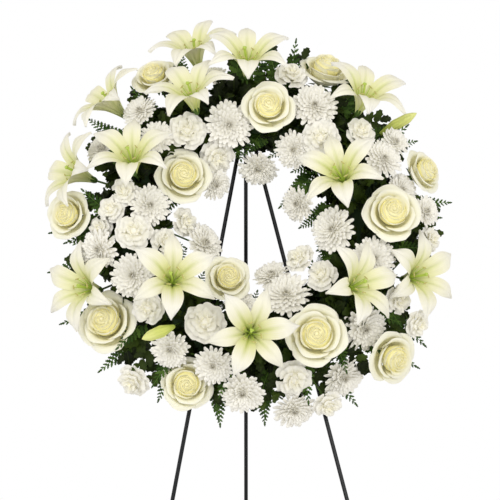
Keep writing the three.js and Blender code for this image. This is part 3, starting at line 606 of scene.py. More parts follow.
def bud_parts():
    heights = np.linspace(-4, 68, BUD_RINGS)
    profile = np.interp(heights, [-4, 4, 24, 50, 62, 68], [3.2, 5.2, 9.8, 8.4, 4.2, 0.6])
    turns = np.linspace(0, 2 * math.pi, BUD_SIDES, endpoint=False)
    groove = 1 - 0.16 * np.exp(-((np.sin(3 * turns) / 0.35) ** 2))
    body, faces, petal_map, tone, look = tube(np.outer(heights, Z_AXIS), profile, 0, 0.5, BUD_SIDES)
    skin = BUD_RINGS * BUD_SIDES
    ring = body[:skin].reshape(BUD_RINGS, BUD_SIDES, 3)
    ring[:, :, :2] *= groove[None, :, None]
    petal_map[:skin, 0] = np.tile((turns / (math.pi / 3)) % 1, BUD_RINGS)
    return [(body, faces, petal_map, tone, look)]


for name, plan in BUDS.items():
    set_bloom("lily_bud_" + name, plan, bud_parts(), plan[5], 1.0, [BUD_PETAL, STEM])
print("buds made:", len(BUDS))

# %% [markdown]
# An open rose is a spiral of cupped petals in rounds. The outer ones lie wide with rolled lips, and
# the inner ones stand upright and wrap each other. Each round has its own count, reach and roll,
# within the solid's three rounds, and every petal is tucked under the next one's edge.

# %% Roses
def rounds(headings, rows):
    return [dict(zip(headings.split(), row)) for row in rows]


ROSE_ROUNDS = rounds("count half out base high lip drop start tone", [
    (4, 0.98, 35, 0, 32, 10, 7, 0.0, 0.0),
    (3, 1.25, 27, 1, 39, 7, 4.5, 0.4, 0.05),
    (3, 1.30, 19.8, 2, 43, 3.5, 2, 0.9, 0.2),
    (3, 1.32, 15.4, 3, 45.5, 2.0, 1.2, 0.2, 0.45),
    (3, 1.38, 11.2, 4, 46.6, 1.2, 0.5, 0.7, 0.65),
    (2, 1.85, 7.2, 5, 46.8, 0.7, 0.2, 0.2, 0.85),
    (2, 1.90, 3.4, 6, 45.6, 0.3, 0, 0.55, 1.0),
])


def rose_point(s, u, petals, rose, k):
    curl = np.maximum(0, (s - 0.75) / 0.25) ** 2
    out = petals["out"] * (0.14 + 0.86 * np.sin(np.pi / 2 * np.minimum(1, 1.2 * s)))
    out = out + petals["lip"] * curl * (0.8 + 0.4 * (1 - np.abs(u)) ** 1.5)
    out = out + 2.2 * u * min(1.0, petals["out"] / 16)
    out = out + 0.9 * np.sin(7 * u + 5 * wobble(rose, k + 5)) * curl * min(1.0, petals["out"] / 30)
    high = petals["base"] + petals["high"] * s**1.1 * (1 - 0.1 * u * u)
    high = high - petals["drop"] * curl + 1.5 * wobble(rose, k) * s * min(1.0, petals["out"] / 24)
    spread = petals["half"] * (0.4 + 0.6 * np.sin(np.pi / 2 * np.minimum(1, 1.5 * s)))
    turn = (k + petals["start"]) * 2 * math.pi / petals["count"] + 0.08 * wobble(rose, k) + u * spread
    return np.stack([out * np.cos(turn), out * np.sin(turn), high], axis=-1)


ROSE_THICKNESS = 0.8
SEPAL_THICKNESS = 0.7
ROSE_OUTLINE = ([0, 0.12, 0.4, 0.6, 0.8, 0.9, 0.96, 1], [0.4, 0.9, 1, 1, 1, 0.95, 0.82, 0.55])


def rose_parts(rose):
    hips = egg(np.array([0, 0, 0.0]), Z_AXIS, 18, 17, 1)
    heights = np.outer([3, 18, 31, 38, 42.5, 45, 46], Z_AXIS)
    packed = tube(heights, [4, 17, 21.5, 19, 14, 8, 1.5], 0, 1.0, 24)
    parts = [hips, packed]
    rows = np.array([0.02, 0.15, 0.3, 0.45, 0.6, 0.72, 0.82, 0.9, 0.96, 1.0])
    s, u = np.meshgrid(rows, np.linspace(-1, 1, 11), indexing="ij")
    narrow = u * np.interp(s, *ROSE_OUTLINE)
    for petals in ROSE_ROUNDS:
        for k in range(petals["count"]):
            petal = rose_point(s, narrow, petals, rose, k)
            parts.append(shell(petal, ROSE_THICKNESS, petals["tone"]))
    s5, u5 = np.meshgrid(np.linspace(0, 1, 7), np.linspace(-1, 1, 5), indexing="ij")
    for i in range(5):
        turn = 2 * math.pi * (i + 0.3) / 5
        side = u5 * 3.6 * np.sin(math.pi * np.clip(0.25 + 0.73 * s5, 0, 0.98))
        sepal = turned_about_z(5 + 17 * s5, side, -4 + 3 * s5 - 5 * s5**2, turn)
        parts.append(shell(sepal, SEPAL_THICKNESS, 0.5, 1))
    return parts


for number, (name, plan) in enumerate(ROSES.items()):
    parts = rose_parts(number)
    set_bloom("rose_" + name, plan, parts, 0.3 * number, plan[5], [ROSE_PETAL, STEM])
print("roses made:", len(ROSES))

# %% [markdown]
# Some things are a rule more than a shape: florets round a head, leaflets along a frond, leaves all
# over a ring. Geometry Nodes suit them, because one part is built and then placed many times. The
# helpers below start a tree, close it, run it once and hand back its points and faces.


# %% Geometry Nodes helpers
def new_geometry_tree(name, inputs):
    """inputs is a dict of name to socket type. Returns the tree and its input sockets by name."""
    group = bpy.data.node_groups.new(name, "GeometryNodeTree")
    for label, kind in inputs.items():
        group.interface.new_socket(label, in_out="INPUT", socket_type="NodeSocket" + kind)
    group.interface.new_socket("Geometry", in_out="OUTPUT", socket_type="NodeSocketGeometry")
    tree = Tree(group)
    source = group.nodes.new("NodeGroupInput")
    return tree, {label: Socket(tree, source.outputs[label]) for label in inputs}


def step(tree, kind, **inputs):
    return tree.node("GeometryNode" + kind, None, inputs)


def close_tree(tree, geometry, material):
    whole = step(tree, "RealizeInstances", Geometry=geometry)
    painted = step(tree, "SetMaterial", Geometry=whole, Material=material)
    out = tree.nodes.new("NodeGroupOutput")
    tree.links.new(painted.socket, out.inputs[0])


def grow(tree, values):
    """Runs a geometry tree on an empty mesh and returns its result as plain arrays."""
    name = tree.group.name
    holder = bpy.data.objects.new(name, bpy.data.meshes.new(name))
    bpy.context.scene.collection.objects.link(holder)
    modifier = holder.modifiers.new(name, "NODES")
    modifier.node_group = tree.group
    for socket in tree.group.interface.items_tree:
        if socket.name in values:
            modifier[socket.identifier] = values[socket.name]
    depsgraph = bpy.context.evaluated_depsgraph_get()
    mesh = bpy.data.meshes.new_from_object(holder.evaluated_get(depsgraph))
    holder.modifiers.remove(modifier)
    points = np.empty(len(mesh.vertices) * 3)
    mesh.vertices.foreach_get("co", points)
    sizes = np.empty(len(mesh.polygons), int)
    mesh.polygons.foreach_get("loop_total", sizes)
    loops = np.empty(len(mesh.loops), int)
    mesh.loops.foreach_get("vertex_index", loops)
    starts = np.concatenate([[0], np.cumsum(sizes)[:-1]])
    faces = [
        np.stack([loops[starts[sizes == n] + i] for i in range(n)], axis=1)
        for n in sorted(set(sizes.tolist()))
    ]

    def attribute(label):
        values = np.full(len(mesh.vertices), 0.5)
        if label in mesh.attributes:
            mesh.attributes[label].data.foreach_get("value", values)
        return values

    petal_map = np.stack([attribute("across"), attribute("along")], axis=1)
    tone = attribute("tone")
    bpy.data.objects.remove(holder)
    bpy.data.meshes.remove(mesh)
    return [(points.reshape(-1, 3), faces, petal_map, tone, 0)]


def random_value(tree, low, high, seed):
    inputs = {2: low, 3: high, 8: seed}
    return tree.node("FunctionNodeRandomValue", {"data_type": "FLOAT"}, inputs, 1)


def moved(tree, geometry, x, y, z):
    return step(tree, "SetPosition", Geometry=geometry, Position=tree.vector(x, y, z))


def rotation(tree, x, y, z):
    return tree.node("FunctionNodeEulerToRotation", None, {0: tree.vector(x, y, z)})


def copies(tree, points, part, turn, *size):
    """A copy of the part on every point, with its own turn and its own length, width and height."""
    size = tree.vector(*(size if len(size) == 3 else size * 3))
    return step(tree, "InstanceOnPoints", Points=points, Instance=part, Rotation=turn, Scale=size)


def joined(tree, *parts):
    return step(tree, "JoinGeometry", Geometry=list(parts))


def stored(tree, geometry, label, value, domain="POINT"):
    return tree.node(
        "GeometryNodeStoreNamedAttribute",
        {"data_type": "FLOAT", "domain": domain},
        {"Geometry": geometry, "Name": label, "Value": value},
    )


def leaflet(tree, segments, rings, width, thickness, cup, curl, spoon=0.0, teeth=0.0, blunt=1.0):
    """One closed floret or leaflet of unit length along +X, with its own along and across.
    spoon moves the widest place towards the tip, teeth notch the edge and blunt rounds the tip.
    The ball's rings lie at equal angles, so the teeth's wave is high on every second ring."""
    ball = step(tree, "MeshUVSphere", Segments=segments, Rings=rings, Radius=0.5)
    lying = step(tree, "Transform", Geometry=ball, Rotation=(0, math.pi / 2, 0))
    where = tree.node("GeometryNodeInputPosition")
    x, y, z = where.axis(0) + 0.5, where.axis(1), where.axis(2)
    kept = stored(tree, stored(tree, lying, "along", x), "across", y + 0.5)
    wave = ((1.0 - x * 2.0).arccosine() * float(rings)).cosine() * teeth if teeth else 0.0
    x = 1.0 - (1.0 - x) ** blunt
    wide = y * width * (x * spoon + (1.0 - spoon * 0.5))
    if teeth:
        wide = wide * (wave + 1.0)
        x = x + wave * 0.12
    return moved(tree, kept, x, wide, z * thickness + y * y * cup + x * x * curl)


# %% [markdown]
# A chrysanthemum head is one narrow floret, repeated a hundred and thirty times. Each is turned
# by the golden angle from the last, upright in the middle and nearly flat at the rim. The florets
# are instances until the end, so only one floret shape is ever built.

# %% Chrysanthemum head
GOLDEN_ANGLE = 2.399963
FLORETS = 132
tree, inp = new_geometry_tree(
    "chrysanthemum_head",
    {
        "Florets": "Int", "Rim Length": "Float", "Floret Width": "Float",
        "Seed": "Int", "Material": "Material",
    },
)
share = (tree.node("GeometryNodeInputIndex") + 0.5) / inp["Florets"]
around = tree.node("GeometryNodeInputIndex") * GOLDEN_ANGLE
root_r = (share**0.5) * 7.0
points = step(tree, "MeshLine", Count=inp["Florets"])
points = moved(tree, points, root_r * around.cosine(), root_r * around.sine(), 8.0 - share * 6.0)
jitter = random_value(tree, -0.12, 0.12, inp["Seed"])
steep = (70.0 - (share**0.62) * 67.0) * (math.pi / 180) + jitter
spin = rotation(tree, jitter * 4.0, -steep, around + jitter)
length = (share**0.8) * (inp["Rim Length"] - 7.0) + 7.0 + random_value(tree, -1.6, 1.6, 7)
width = (share**0.7) * inp["Floret Width"] + 2.2
floret = leaflet(tree, 6, 6, 1.0, 0.20, 0.35, 0.12, spoon=0.6, blunt=1.3)
heads = copies(tree, points, floret, spin, length, width, width)
heads = stored(tree, heads, "tone", share.between(0.0, 0.09, 1.0, 0.0), "INSTANCE")
bed = step(tree, "MeshUVSphere", Segments=16, Rings=8, Radius=1.0)
bed = step(tree, "Transform", Geometry=bed, Translation=(0, 0, 3.5), Scale=(15.0, 15.0, 5.0))
bed = stored(tree, stored(tree, bed, "along", 0.6), "tone", 0.0)
close_tree(tree, joined(tree, heads, bed), inp["Material"])
MUM = {"Florets": FLORETS, "Rim Length": 27.5, "Floret Width": 4.6, "Material": MUM_PETAL}
MUM_HEADS = [grow(tree, {**MUM, "Seed": seed}) for seed in (1, 2, 3)]
print("one chrysanthemum head:", len(MUM_HEADS[0][0][0]), "points")

# %% [markdown]
# A spray is several heads on one stem. The stem stands in the foam, forks just above it, and each
# branch runs to the back of its head, as in the solids.


# %% Sprays
BRANCH_RADIUS = 1.4
FORK_GAP = 8


def add_spray_stems(piece, heads, calyx):
    places = [head_place(*head[:3]) for head in heads]
    middle = sum(places) / len(places)
    core = core_point(middle)
    out = unit(middle - core)
    fork = core + out * (FOAM_HALF_WIDTH + FORK_GAP)
    piece.add(*tube([core + out * STEM_END, fork - out * 6, fork + out], STEM_RADIUS, 1))
    for place, head in zip(places, heads):
        direction = spray_facing(place)
        scale = head[3] / calyx["radius"]
        neck = place - direction * calyx["neck"] * scale
        bow = np.linspace(0, 1, 7)[:, None]
        path = (1 - bow) ** 2 * fork + 2 * bow * (1 - bow) * (fork * 0.45 + neck * 0.55) + bow**2 * neck
        piece.add(*tube(path, BRANCH_RADIUS, 1))
        swell = neck + direction * calyx["swell"] * scale
        top = place + direction * calyx["top"] * scale
        piece.add(*tube([neck, swell, top], np.array(calyx["widths"]) * scale, 1, 0.5, 10))
    return places


def set_sprays(kind, sprays, calyx, parts_of, radius, spin, finish):
    """parts_of gives a head's parts from the numbers of its spray and of itself."""
    for number, (name, heads) in enumerate(sprays.items()):
        spray = Piece()
        for i, place in enumerate(add_spray_stems(spray, heads, calyx)):
            turn = facing(spray_facing(place), 0.37 * i + spin * number)
            spray.add_turned(parts_of(number, i), turn, heads[i][3] / radius, place)
        node = kind + "_spray_" + name
        settle(spray.make(node + "_heads", [finish, STEM]), node)
    print(kind, "sprays made:", len(sprays))


def mum_parts(number, i):
    return MUM_HEADS[(number + i) % 3]


MUM_CALYX = dict(radius=31, neck=5, swell=3, top=3, widths=[1.6, 5.5, 8.0])
set_sprays("mum", MUM_SPRAYS, MUM_CALYX, mum_parts, 27, 0.21, MUM_PETAL)

# %% [markdown]
# A spray carnation is a tight head of fan-shaped petals with a ruffled, toothed rim, held by a
# green calyx. Each fan is a grid whose outer rows wave up and down, and four layers close the head.

# %% Carnations
CARNATION_LAYERS = rounds("count half root low reach high start ruffle", [
    (5, 0.74, 3.0, 3, 29.0, 12.0, 0.0, 2.0),
    (4, 0.90, 2.6, 5, 24.0, 18.5, 0.5, 2.8),
    (3, 1.05, 2.2, 7, 17.0, 23.5, 0.2, 3.4),
    (3, 0.95, 1.8, 8, 9.5, 26.0, 0.7, 3.2),
])


CARNATION_THICKNESS = 0.7


def carnation_parts(number, i):
    seed = number * 5 + i
    parts = [tube([[0, 0, -16], [0, 0, -4], [0, 0, 4], [0, 0, 9]], [3.0, 4.2, 5.2, 5.6], 1, 0.5, 12)]
    parts.append(tube(np.outer([5, 12, 17, 19], Z_AXIS), [4, 11, 8, 2], 0, 0.6, 14))
    s, u = np.meshgrid(np.linspace(0, 1, 8), np.linspace(-1, 1, 15), indexing="ij")
    for row, layer in enumerate(CARNATION_LAYERS):
        for k in range(layer["count"]):
            phase = 4 * wobble(seed + row, k)
            waves = np.sin(5.2 * u + phase) + 0.45 * np.sin(9.5 * u - 2 * phase)
            ruffle = layer["ruffle"] * s**1.4 * waves
            rounded = 1 - 0.14 * s**2 * np.abs(u) ** 3 + 0.03 * s**6 * np.sin(36 * u)
            r = (layer["root"] + (layer["reach"] - layer["root"]) * s**1.15) * rounded + 0.35 * ruffle
            z = layer["low"] + (layer["high"] - layer["low"]) * np.sin(math.pi / 2 * s) ** 0.8
            z = z + ruffle - 1.8 * s**3
            spread = layer["half"] * (0.3 + 0.7 * s**0.6)
            turn = (k + layer["start"]) * 2 * math.pi / layer["count"] + u * spread
            turn = turn + 0.25 * wobble(seed, k + row)
            grid = np.stack([r * np.cos(turn), r * np.sin(turn), z], axis=-1)
            parts.append(shell(grid, CARNATION_THICKNESS, row / 3))
    return parts


CARNATION_CALYX = dict(radius=25, neck=16, swell=4, top=-8, widths=[1.6, 3.0, 3.6])
set_sprays(
    "carnation", CARNATION_SPRAYS, CARNATION_CALYX, carnation_parts, 24, 0.0, CARNATION_PETAL,
)

# %% [markdown]
# A leatherleaf frond is a feather of feathers: leaflets along each side shoot, and side shoots
# along the rib, both shrinking towards the tip. The tree instances one leaflet into a side shoot,
# and the side shoot into the frond. Python then bends the flat frond along each solid's arch.

# %% Fern frond
tree, inp = new_geometry_tree(
    "fern_frond",
    {"Pairs": "Int", "Lobes": "Int", "Half Width": "Float", "Seed": "Int", "Material": "Material"},
)


def feather(pairs, part, half_width, length, open_low, open_high, taper):
    """Instances a part on both sides of a rib that runs along +X."""
    index = tree.node("GeometryNodeInputIndex")
    row = (index * 0.5).floor()
    side = index.modulo(2.0) * 2.0 - 1.0
    share = (row + 0.6 + side * 0.12) / (pairs + 0.6)
    line = moved(tree, step(tree, "MeshLine", Count=pairs * 2.0), share * length, 0.0, 0.0)
    opened = (open_low - share * (open_low - open_high)) * side
    rolled = random_value(tree, -0.5, 0.5, 31) + side * 0.2
    size = ((1.06 - share) ** taper) * share.between(-0.3, 0.22) * half_width
    return copies(tree, line, part, rotation(tree, rolled, 0.0, opened), size)


lobe = leaflet(tree, 4, 4, 0.70, 0.10, 0.15, -0.10)
lobes = feather(inp["Lobes"], lobe, 0.40, 0.60, 0.75, 0.50, 0.5)
blade = leaflet(tree, 4, 10, 0.40, 0.06, 0.1, 0.0, teeth=0.28)
shoot = joined(tree, lobes, blade)
shoots = feather(inp["Pairs"], shoot, inp["Half Width"], 93.0, 1.15, 0.65, 0.7)
shoots = stored(tree, shoots, "tone", random_value(tree, 0.0, 1.0, inp["Seed"]), "INSTANCE")
end = step(tree, "Transform", Geometry=shoot, Translation=(90.0, 0, 0), Scale=(10.0, 8.0, 8.0))
close_tree(tree, joined(tree, shoots, end), inp["Material"])
FROND = {"Lobes": 2, "Half Width": 25.0, "Material": FERN}
FRONDS, SHORT_FRONDS = (
    [grow(tree, {**FROND, "Pairs": pairs, "Seed": seed})[0] for seed in (4, 5)]
    for pairs in (12, 10)
)
print("one frond:", len(FRONDS[0][0]), "points, reach", FRONDS[0][0].max(axis=0).round(1))


def arch(root, tip, lift, t):
    """Points along a bow from root to tip, with its sideways and upward directions."""
    along = tip - root
    sideways = unit(np.cross(along, at(0, 1, 0)))
    upward = unit(np.cross(sideways, along))
    return root + np.outer(t, along) + np.outer(lift * 4 * t * (1 - t), upward), sideways, upward


def bent_frond(flat_frond, root, tip, width, lift):
    """A flat frond, laid along an arch from root to tip."""
    flat, faces, petal_map, tone, look = flat_frond
    spine, sideways, upward = arch(root, tip, lift, flat[:, 0] / 100)
    side = flat[:, 1] * width
    rise = flat[:, 2] - 0.25 * np.abs(side)
    points = spine + np.outer(rise, upward) + np.outer(side, sideways)
    rib, *_ = arch(root, tip, lift, np.linspace(0, 0.97, 9))
    return [(points, faces, petal_map, tone, look), tube(rib, np.linspace(1.1, 0.4, 9), look, 0.8, 5)]


FROND_DEPTH = 22
ROOT_GAP = 9
for number, (name, fronds) in enumerate(FERNS.items()):
    bunch = Piece()
    away = FOAM_HALF_WIDTH + ROOT_GAP
    ring = RING_RADIUS + (-away if name == "inner" else away)
    turns = [math.radians(angle) for angle, *_ in fronds]
    roots = [at(ring * math.cos(turn), FROND_DEPTH, ring * math.sin(turn)) for turn in turns]
    middle = roots[len(roots) // 2]
    core = core_point(middle)
    bunch.add(*tube([middle, core + unit(middle - core) * STEM_END], STEM_RADIUS, 0))
    bunch.add(*tube(roots, BRANCH_RADIUS, 0))
    for i, (root, (_, across, up, depth)) in enumerate(zip(roots, fronds)):
        for part in bent_frond(FRONDS[(number + i) % 2], root, at(across, depth, up), 1.0, 5.0):
            bunch.add(*part)
    node = "fern_" + name
    settle(bunch.make(node + "_fronds", [FERN]), node)
print("fern bunches made:", len(FERNS))

# %% [markdown]
# Between the flowers the foam is hidden by small leaves, leafy sprigs and short fern tips. Sprigs
# and tips are planted at random, but from a fixed seed, so they are always the same ones. A place
# is only taken where nothing pokes into a bloom, so each flower head is first noted as a ball.

# %% Places kept clear for the flower heads
BLOOM_RADIUS = 40
BLOOM_MIDDLE = 24
SPRAY_HEAD_MIDDLE = 8
HEAD_BALLS = []
for head in [*ROSES.values(), *LILIES.values()]:
    middle = head_place(*head[:3]) + unit(at(head[3], 1, head[4])) * BLOOM_MIDDLE
    HEAD_BALLS.append((middle, BLOOM_RADIUS))
for spray in [*MUM_SPRAYS.values(), *CARNATION_SPRAYS.values()]:
    for head in spray:
        place = head_place(*head[:3])
        HEAD_BALLS.append((place + spray_facing(place) * SPRAY_HEAD_MIDDLE, head[3]))


def is_clear(root, tip):
    """True where a frond stays out of every flower head."""
    along = root + np.outer(np.linspace(0.35, 1, 5), tip - root)
    return all(np.linalg.norm(along - centre, axis=1).min() > radius for centre, radius in HEAD_BALLS)


print("flower heads kept clear:", len(HEAD_BALLS))

# %% [markdown]
# The small leaves grow out of a ring just inside the foam's surface, each with its own nod and
# swing. Leaves that would reach into the tray or past the flowers are dropped afterwards.

# %% Cover of small leaves
LEAF_SIDES = 4
LEAF_RINGS = 11
COVER_DEPTHS = (3.0, 104.0)
tree, inp = new_geometry_tree(
    "leaf_cover",
    {
        "Ring Radius": "Float", "Foam Radius": "Float", "Density": "Float", "Leaf Length": "Float",
        "Seed": "Int", "Material": "Material",
    },
)
circle, section = (
    step(tree, "CurvePrimitiveCircle", Resolution=steps, Radius=inp[radius])
    for steps, radius in ((64, "Ring Radius"), (16, "Foam Radius"))
)
torus = step(tree, "CurveToMesh", **{"Curve": circle, "Profile Curve": section})
scatter = tree.nodes.new("GeometryNodeDistributePointsOnFaces")
tree.put(scatter.inputs["Mesh"], torus)
tree.put(scatter.inputs["Density"], inp["Density"])
tree.put(scatter.inputs["Seed"], inp["Seed"])
nod = random_value(tree, -1.45, -0.75, 11)
swing = rotation(tree, 0.0, 0.0, random_value(tree, 0.0, 6.28, 12))
tilt = rotation(tree, random_value(tree, -0.6, 0.6, 13), nod, 0.0)
turned = Socket(tree, scatter.outputs["Rotation"])
for turn in (swing, tilt):
    turned = tree.node("FunctionNodeRotateRotation", {"rotation_space": "LOCAL"}, {0: turned, 1: turn})
size = random_value(tree, 0.6, 1.1, 14) * inp["Leaf Length"]
leaf = leaflet(tree, LEAF_SIDES, LEAF_RINGS, 0.60, 0.03, 0.55, -0.25, teeth=0.20)
leaves = copies(tree, Socket(tree, scatter.outputs["Points"]), leaf, turned, size)
leaves = stored(tree, leaves, "tone", random_value(tree, 0.0, 1.0, 15), "INSTANCE")
close_tree(tree, leaves, inp["Material"])


def keep_between(part, low, high):
    """Keeps the whole leaves whose points all lie between two depths."""
    points, faces, petal_map, tone, look = part
    size = 2 + LEAF_SIDES * (LEAF_RINGS - 1)
    first = np.arange(0, len(points), size)
    depth = -points[:, 1]
    good = (np.minimum.reduceat(depth, first) > low) & (np.maximum.reduceat(depth, first) < high)
    kept = np.repeat(good, size)
    new_index = np.cumsum(kept) - 1
    faces = [new_index[f[kept[f[:, 0]]]] for f in faces]
    return (points[kept], faces, petal_map[kept], tone[kept], look)


def place_cover(name, piece, finish):
    made = piece.make(name, [finish])
    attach(made, WREATH_BODY)
    print(name, sum(len(p.vertices) - 2 for p in made.data.polygons), "triangles")


COVER = {"Ring Radius": RING_RADIUS, "Foam Radius": 36.0, "Density": 0.0066, "Leaf Length": 33.0}
points, *rest = grow(tree, {**COVER, "Seed": 21, "Material": LEAF_GREEN_AND_PAINTED_SHADE})[0]
on_wreath = np.stack([points[:, 0], -points[:, 2] - CORE_DEPTH, points[:, 1]], axis=1)
leaf_cover = Piece()
leaf_cover.add(*keep_between((on_wreath, *rest), *COVER_DEPTHS))
print("leaves on the foam:", leaf_cover.count // (2 + LEAF_SIDES * (LEAF_RINGS - 1)))

# %% [markdown]
# Past the foam's edge the gaps between the outer flowers hold short leafy sprigs. A sprig is a thin
# bowed stem with nine leaves, set left and right in turn. The leaf is made once, by its own tree.

# %% Leafy sprigs at the rim
SPRIGS = 46
SPRIG_LEAVES = 9
ATTEMPTS = 60
ROOT_HEIGHT = 30
tree, inp = new_geometry_tree("sprig_leaf", {"Material": "Material"})
close_tree(tree, leaflet(tree, 4, 9, 0.58, 0.03, 0.5, -0.3, teeth=0.16), inp["Material"])
leaf_points, leaf_faces, leaf_map, *_ = grow(tree, {"Material": LEAF_GREEN_AND_PAINTED_SHADE})[0]


def ring_place(turn, tilt):
    """A point of the foam's core, a direction out of it and the direction round the ring."""
    radial = at(math.cos(turn), 0, math.sin(turn))
    out = radial * math.cos(tilt) + at(0, math.sin(tilt), 0)
    around = at(-math.sin(turn), 0, math.cos(turn))
    return radial * RING_RADIUS + at(0, CORE_DEPTH, 0), out, around


def add_sprig(piece, root, tip, bow, sizes, tones):
    stem, sideways, upward = arch(root, tip, bow, np.linspace(0, 1, SPRIG_LEAVES))
    piece.add(*tube(stem, np.linspace(1.0, 0.5, SPRIG_LEAVES), 0, 0.9, 5))
    for k in range(SPRIG_LEAVES):
        side = 0.0 if k == SPRIG_LEAVES - 1 else (-1) ** k
        out = unit(unit(tip - root) + sideways * side + upward * (tones[k] - 0.4))
        across = unit(np.cross(upward, out))
        basis = np.stack([out, across, np.cross(out, across)], axis=1)
        leaf = [(leaf_points, leaf_faces, leaf_map, tones[k], 0)]
        piece.add_turned(leaf, basis, sizes[k], stem[k])


rng = np.random.default_rng(5)
for i in range(SPRIGS):
    for _ in range(ATTEMPTS):
        turn = 2 * math.pi * (i + rng.uniform(-0.8, 0.8)) / SPRIGS
        tilt = rng.uniform(-0.15, 0.3)
        ring, out, around = ring_place(turn, tilt)
        root = ring + out * ROOT_HEIGHT
        tip = ring + unit(out + around * rng.uniform(-0.4, 0.4)) * rng.uniform(84, 106)
        if is_clear(root, tip):
            add_sprig(
                leaf_cover, root, tip, rng.uniform(-4, 6),
                rng.uniform(17, 27, SPRIG_LEAVES), rng.uniform(0.1, 1.0, SPRIG_LEAVES),
            )
            break
place_cover("leaf_cover", leaf_cover, LEAF_GREEN_AND_PAINTED_SHADE)

# %% [markdown]
# The fern tips are short fronds of the same kind as the long ones. Two in three stand outwards past
# the rim, and the third leans into the wreath's opening, but never across it.

# %% Short fern tips in the cover
FERN_TIPS = 52
fern_cover = Piece()
rng = np.random.default_rng(17)
planted = 0
for i in range(FERN_TIPS):
    inward = i % 3 == 0
    for _ in range(ATTEMPTS):
        turn = 2 * math.pi * (i + rng.uniform(-0.8, 0.8)) / FERN_TIPS
        tilt = math.pi - rng.uniform(0.0, 0.45) if inward else rng.uniform(-0.1, 0.55)
        ring, out, around = ring_place(turn, tilt)
        swing = around * rng.uniform(-0.5, 0.5)
        root = ring + out * ROOT_HEIGHT
        tip = ring + unit(out + swing) * (88 if inward else rng.uniform(105, 138))
        if is_clear(root, tip):
            planted += 1
            for part in bent_frond(SHORT_FRONDS[i % 2], root, tip, 0.95, rng.uniform(2, 9)):
                fern_cover.add(*part)
            break
print("fern tips planted:", planted)
place_cover("fern_cover", fern_cover, FERN)

# %% [markdown]
# The foam, the tray and the easel keep their CAD shapes, and only take a finish. Foam has fine open
# cells, the tray a moulded satin skin, and the easel a glossy black paint that pools unevenly.


# %% Foam, tray and easel
def grained_finish(name, dark, light, roughness, scale, depth):
    material, tree, surface = new_finish(name, roughness)
    grain = own_noise(tree, scale, 4.0)
    broad = own_noise(tree, scale / 12)
    tree.put(surface.inputs["Base Color"], tree.mix(broad * 0.7 + grain * 0.3, dark, light))
    tree.put(surface.inputs["Roughness"], grain * 0.2 + (roughness - 0.1))
    put_bump(tree, surface, grain, 0.5, depth)
    return material


FOAM = grained_finish("wet_foam", (0.010, 0.026, 0.007), (0.030, 0.066, 0.020), 0.9, 900.0, 0.0008)
TRAY = grained_finish("moulded_tray", (0.012, 0.02, 0.014), (0.03, 0.045, 0.03), 0.42, 400.0, 0.0002)
WIRE = grained_finish(
    "glossy_black_wire", (0.001, 0.002, 0.003), (0.004, 0.006, 0.008), 0.24, 160.0, 0.0002
)
WIRE.node_tree.nodes["Principled BSDF"].inputs["Specular IOR Level"].default_value = 0.3

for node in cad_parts:
    finish = {"foam_ring": FOAM, "ring_tray": TRAY}.get(node, WIRE)
    if finish is not WIRE or node.startswith("easel"):
        solid = bpy.data.objects[node]
        solid.data.materials.clear()
        solid.data.materials.append(finish)
print("carried-over nodes finished")

# %% [markdown]
# The photograph is a level, straight view with a long lens on pure white. The camera stands about
# three metres off, and its frame holds 800 mm at the flowers. Two large soft lights stand on both
# sides of it, the left one higher and smaller, so each petal shades the next without hard edges.

# %% Camera and lights
FRAME_WIDTH = 0.8
DISTANCE = 3.2
FLOWER_Y = -0.17
CENTRE_Z = 0.9525
SENSOR = 36
AIM = (0, -0.1, 1.0)

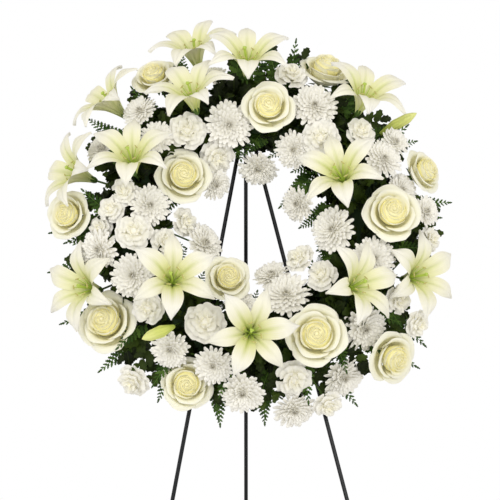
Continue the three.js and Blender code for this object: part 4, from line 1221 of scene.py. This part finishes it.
camera_data = bpy.data.cameras.new("camera")
camera_data.sensor_width = SENSOR
camera_data.lens = SENSOR * DISTANCE / FRAME_WIDTH
camera = bpy.data.objects.new("camera", camera_data)
camera.location = (0, FLOWER_Y - DISTANCE, CENTRE_Z)
camera.rotation_euler = (math.pi / 2, 0, 0)
bpy.context.scene.collection.objects.link(camera)
bpy.context.scene.camera = camera


def soft_light(name, place, size, power):
    data = bpy.data.lights.new(name, "AREA")
    data.shape = "DISK"
    data.size = size
    data.energy = power
    data.color = (1.0, 0.98, 0.94)
    light = bpy.data.objects.new(name, data)
    light.location = place
    x, y, z = np.array(place) - np.array(AIM)
    light.rotation_euler = (math.atan2(math.hypot(x, y), z), 0, math.atan2(x, -y))
    bpy.context.scene.collection.objects.link(light)


soft_light("key", (-1.1, -2.9, 2.5), 0.9, 15)
soft_light("fill", (0.9, -3.3, 1.6), 1.2, 17)
print("camera lens:", camera_data.lens, "mm")

# %% [markdown]
# The background has to be white behind the flowers, yet not wash out their shadows. So the world
# is brightest near the horizon, which the camera sees, and dimmer and warmer above and below. The
# floor is a plain pale disc of paper, declared as stage, since it isn't part of the wreath.

# %% A bright horizon and a pale floor
world = bpy.data.worlds.new("white_studio")
world.use_nodes = True
tree = Tree(world.node_tree)
direction = tree.node("ShaderNodeTexCoord", None, None, "Generated")
height = direction.axis(2).absolute()
glow = height.between(0.25, 0.6, 1.0, 0.6)
warmth = height.between(0.25, 0.6)
background = world.node_tree.nodes["Background"]
tree.put(background.inputs["Color"], tree.mix(warmth, (1.0, 1.0, 1.0), (1.0, 0.97, 0.90)))
tree.put(background.inputs["Strength"], glow)
bpy.context.scene.world = world
bpy.context.scene.view_settings.view_transform = "Standard"

bpy.ops.mesh.primitive_circle_add(vertices=96, radius=3.9, fill_type="NGON", location=(0, 0, 0))
floor = bpy.context.object
floor.name = "studio_floor"
paper, tree, surface = new_finish("studio_paper", 0.9)
mottle = own_noise(tree, 3.0) * 0.2
tree.put(surface.inputs["Base Color"], tree.mix(mottle, (0.90, 0.90, 0.90), (0.87, 0.87, 0.87)))
floor.data.materials.append(paper)
floor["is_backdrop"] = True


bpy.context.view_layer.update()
triangles = sum(
    sum(len(p.vertices) - 2 for p in o.data.polygons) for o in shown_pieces() if o.type == "MESH"
)
print("triangles in all:", triangles)
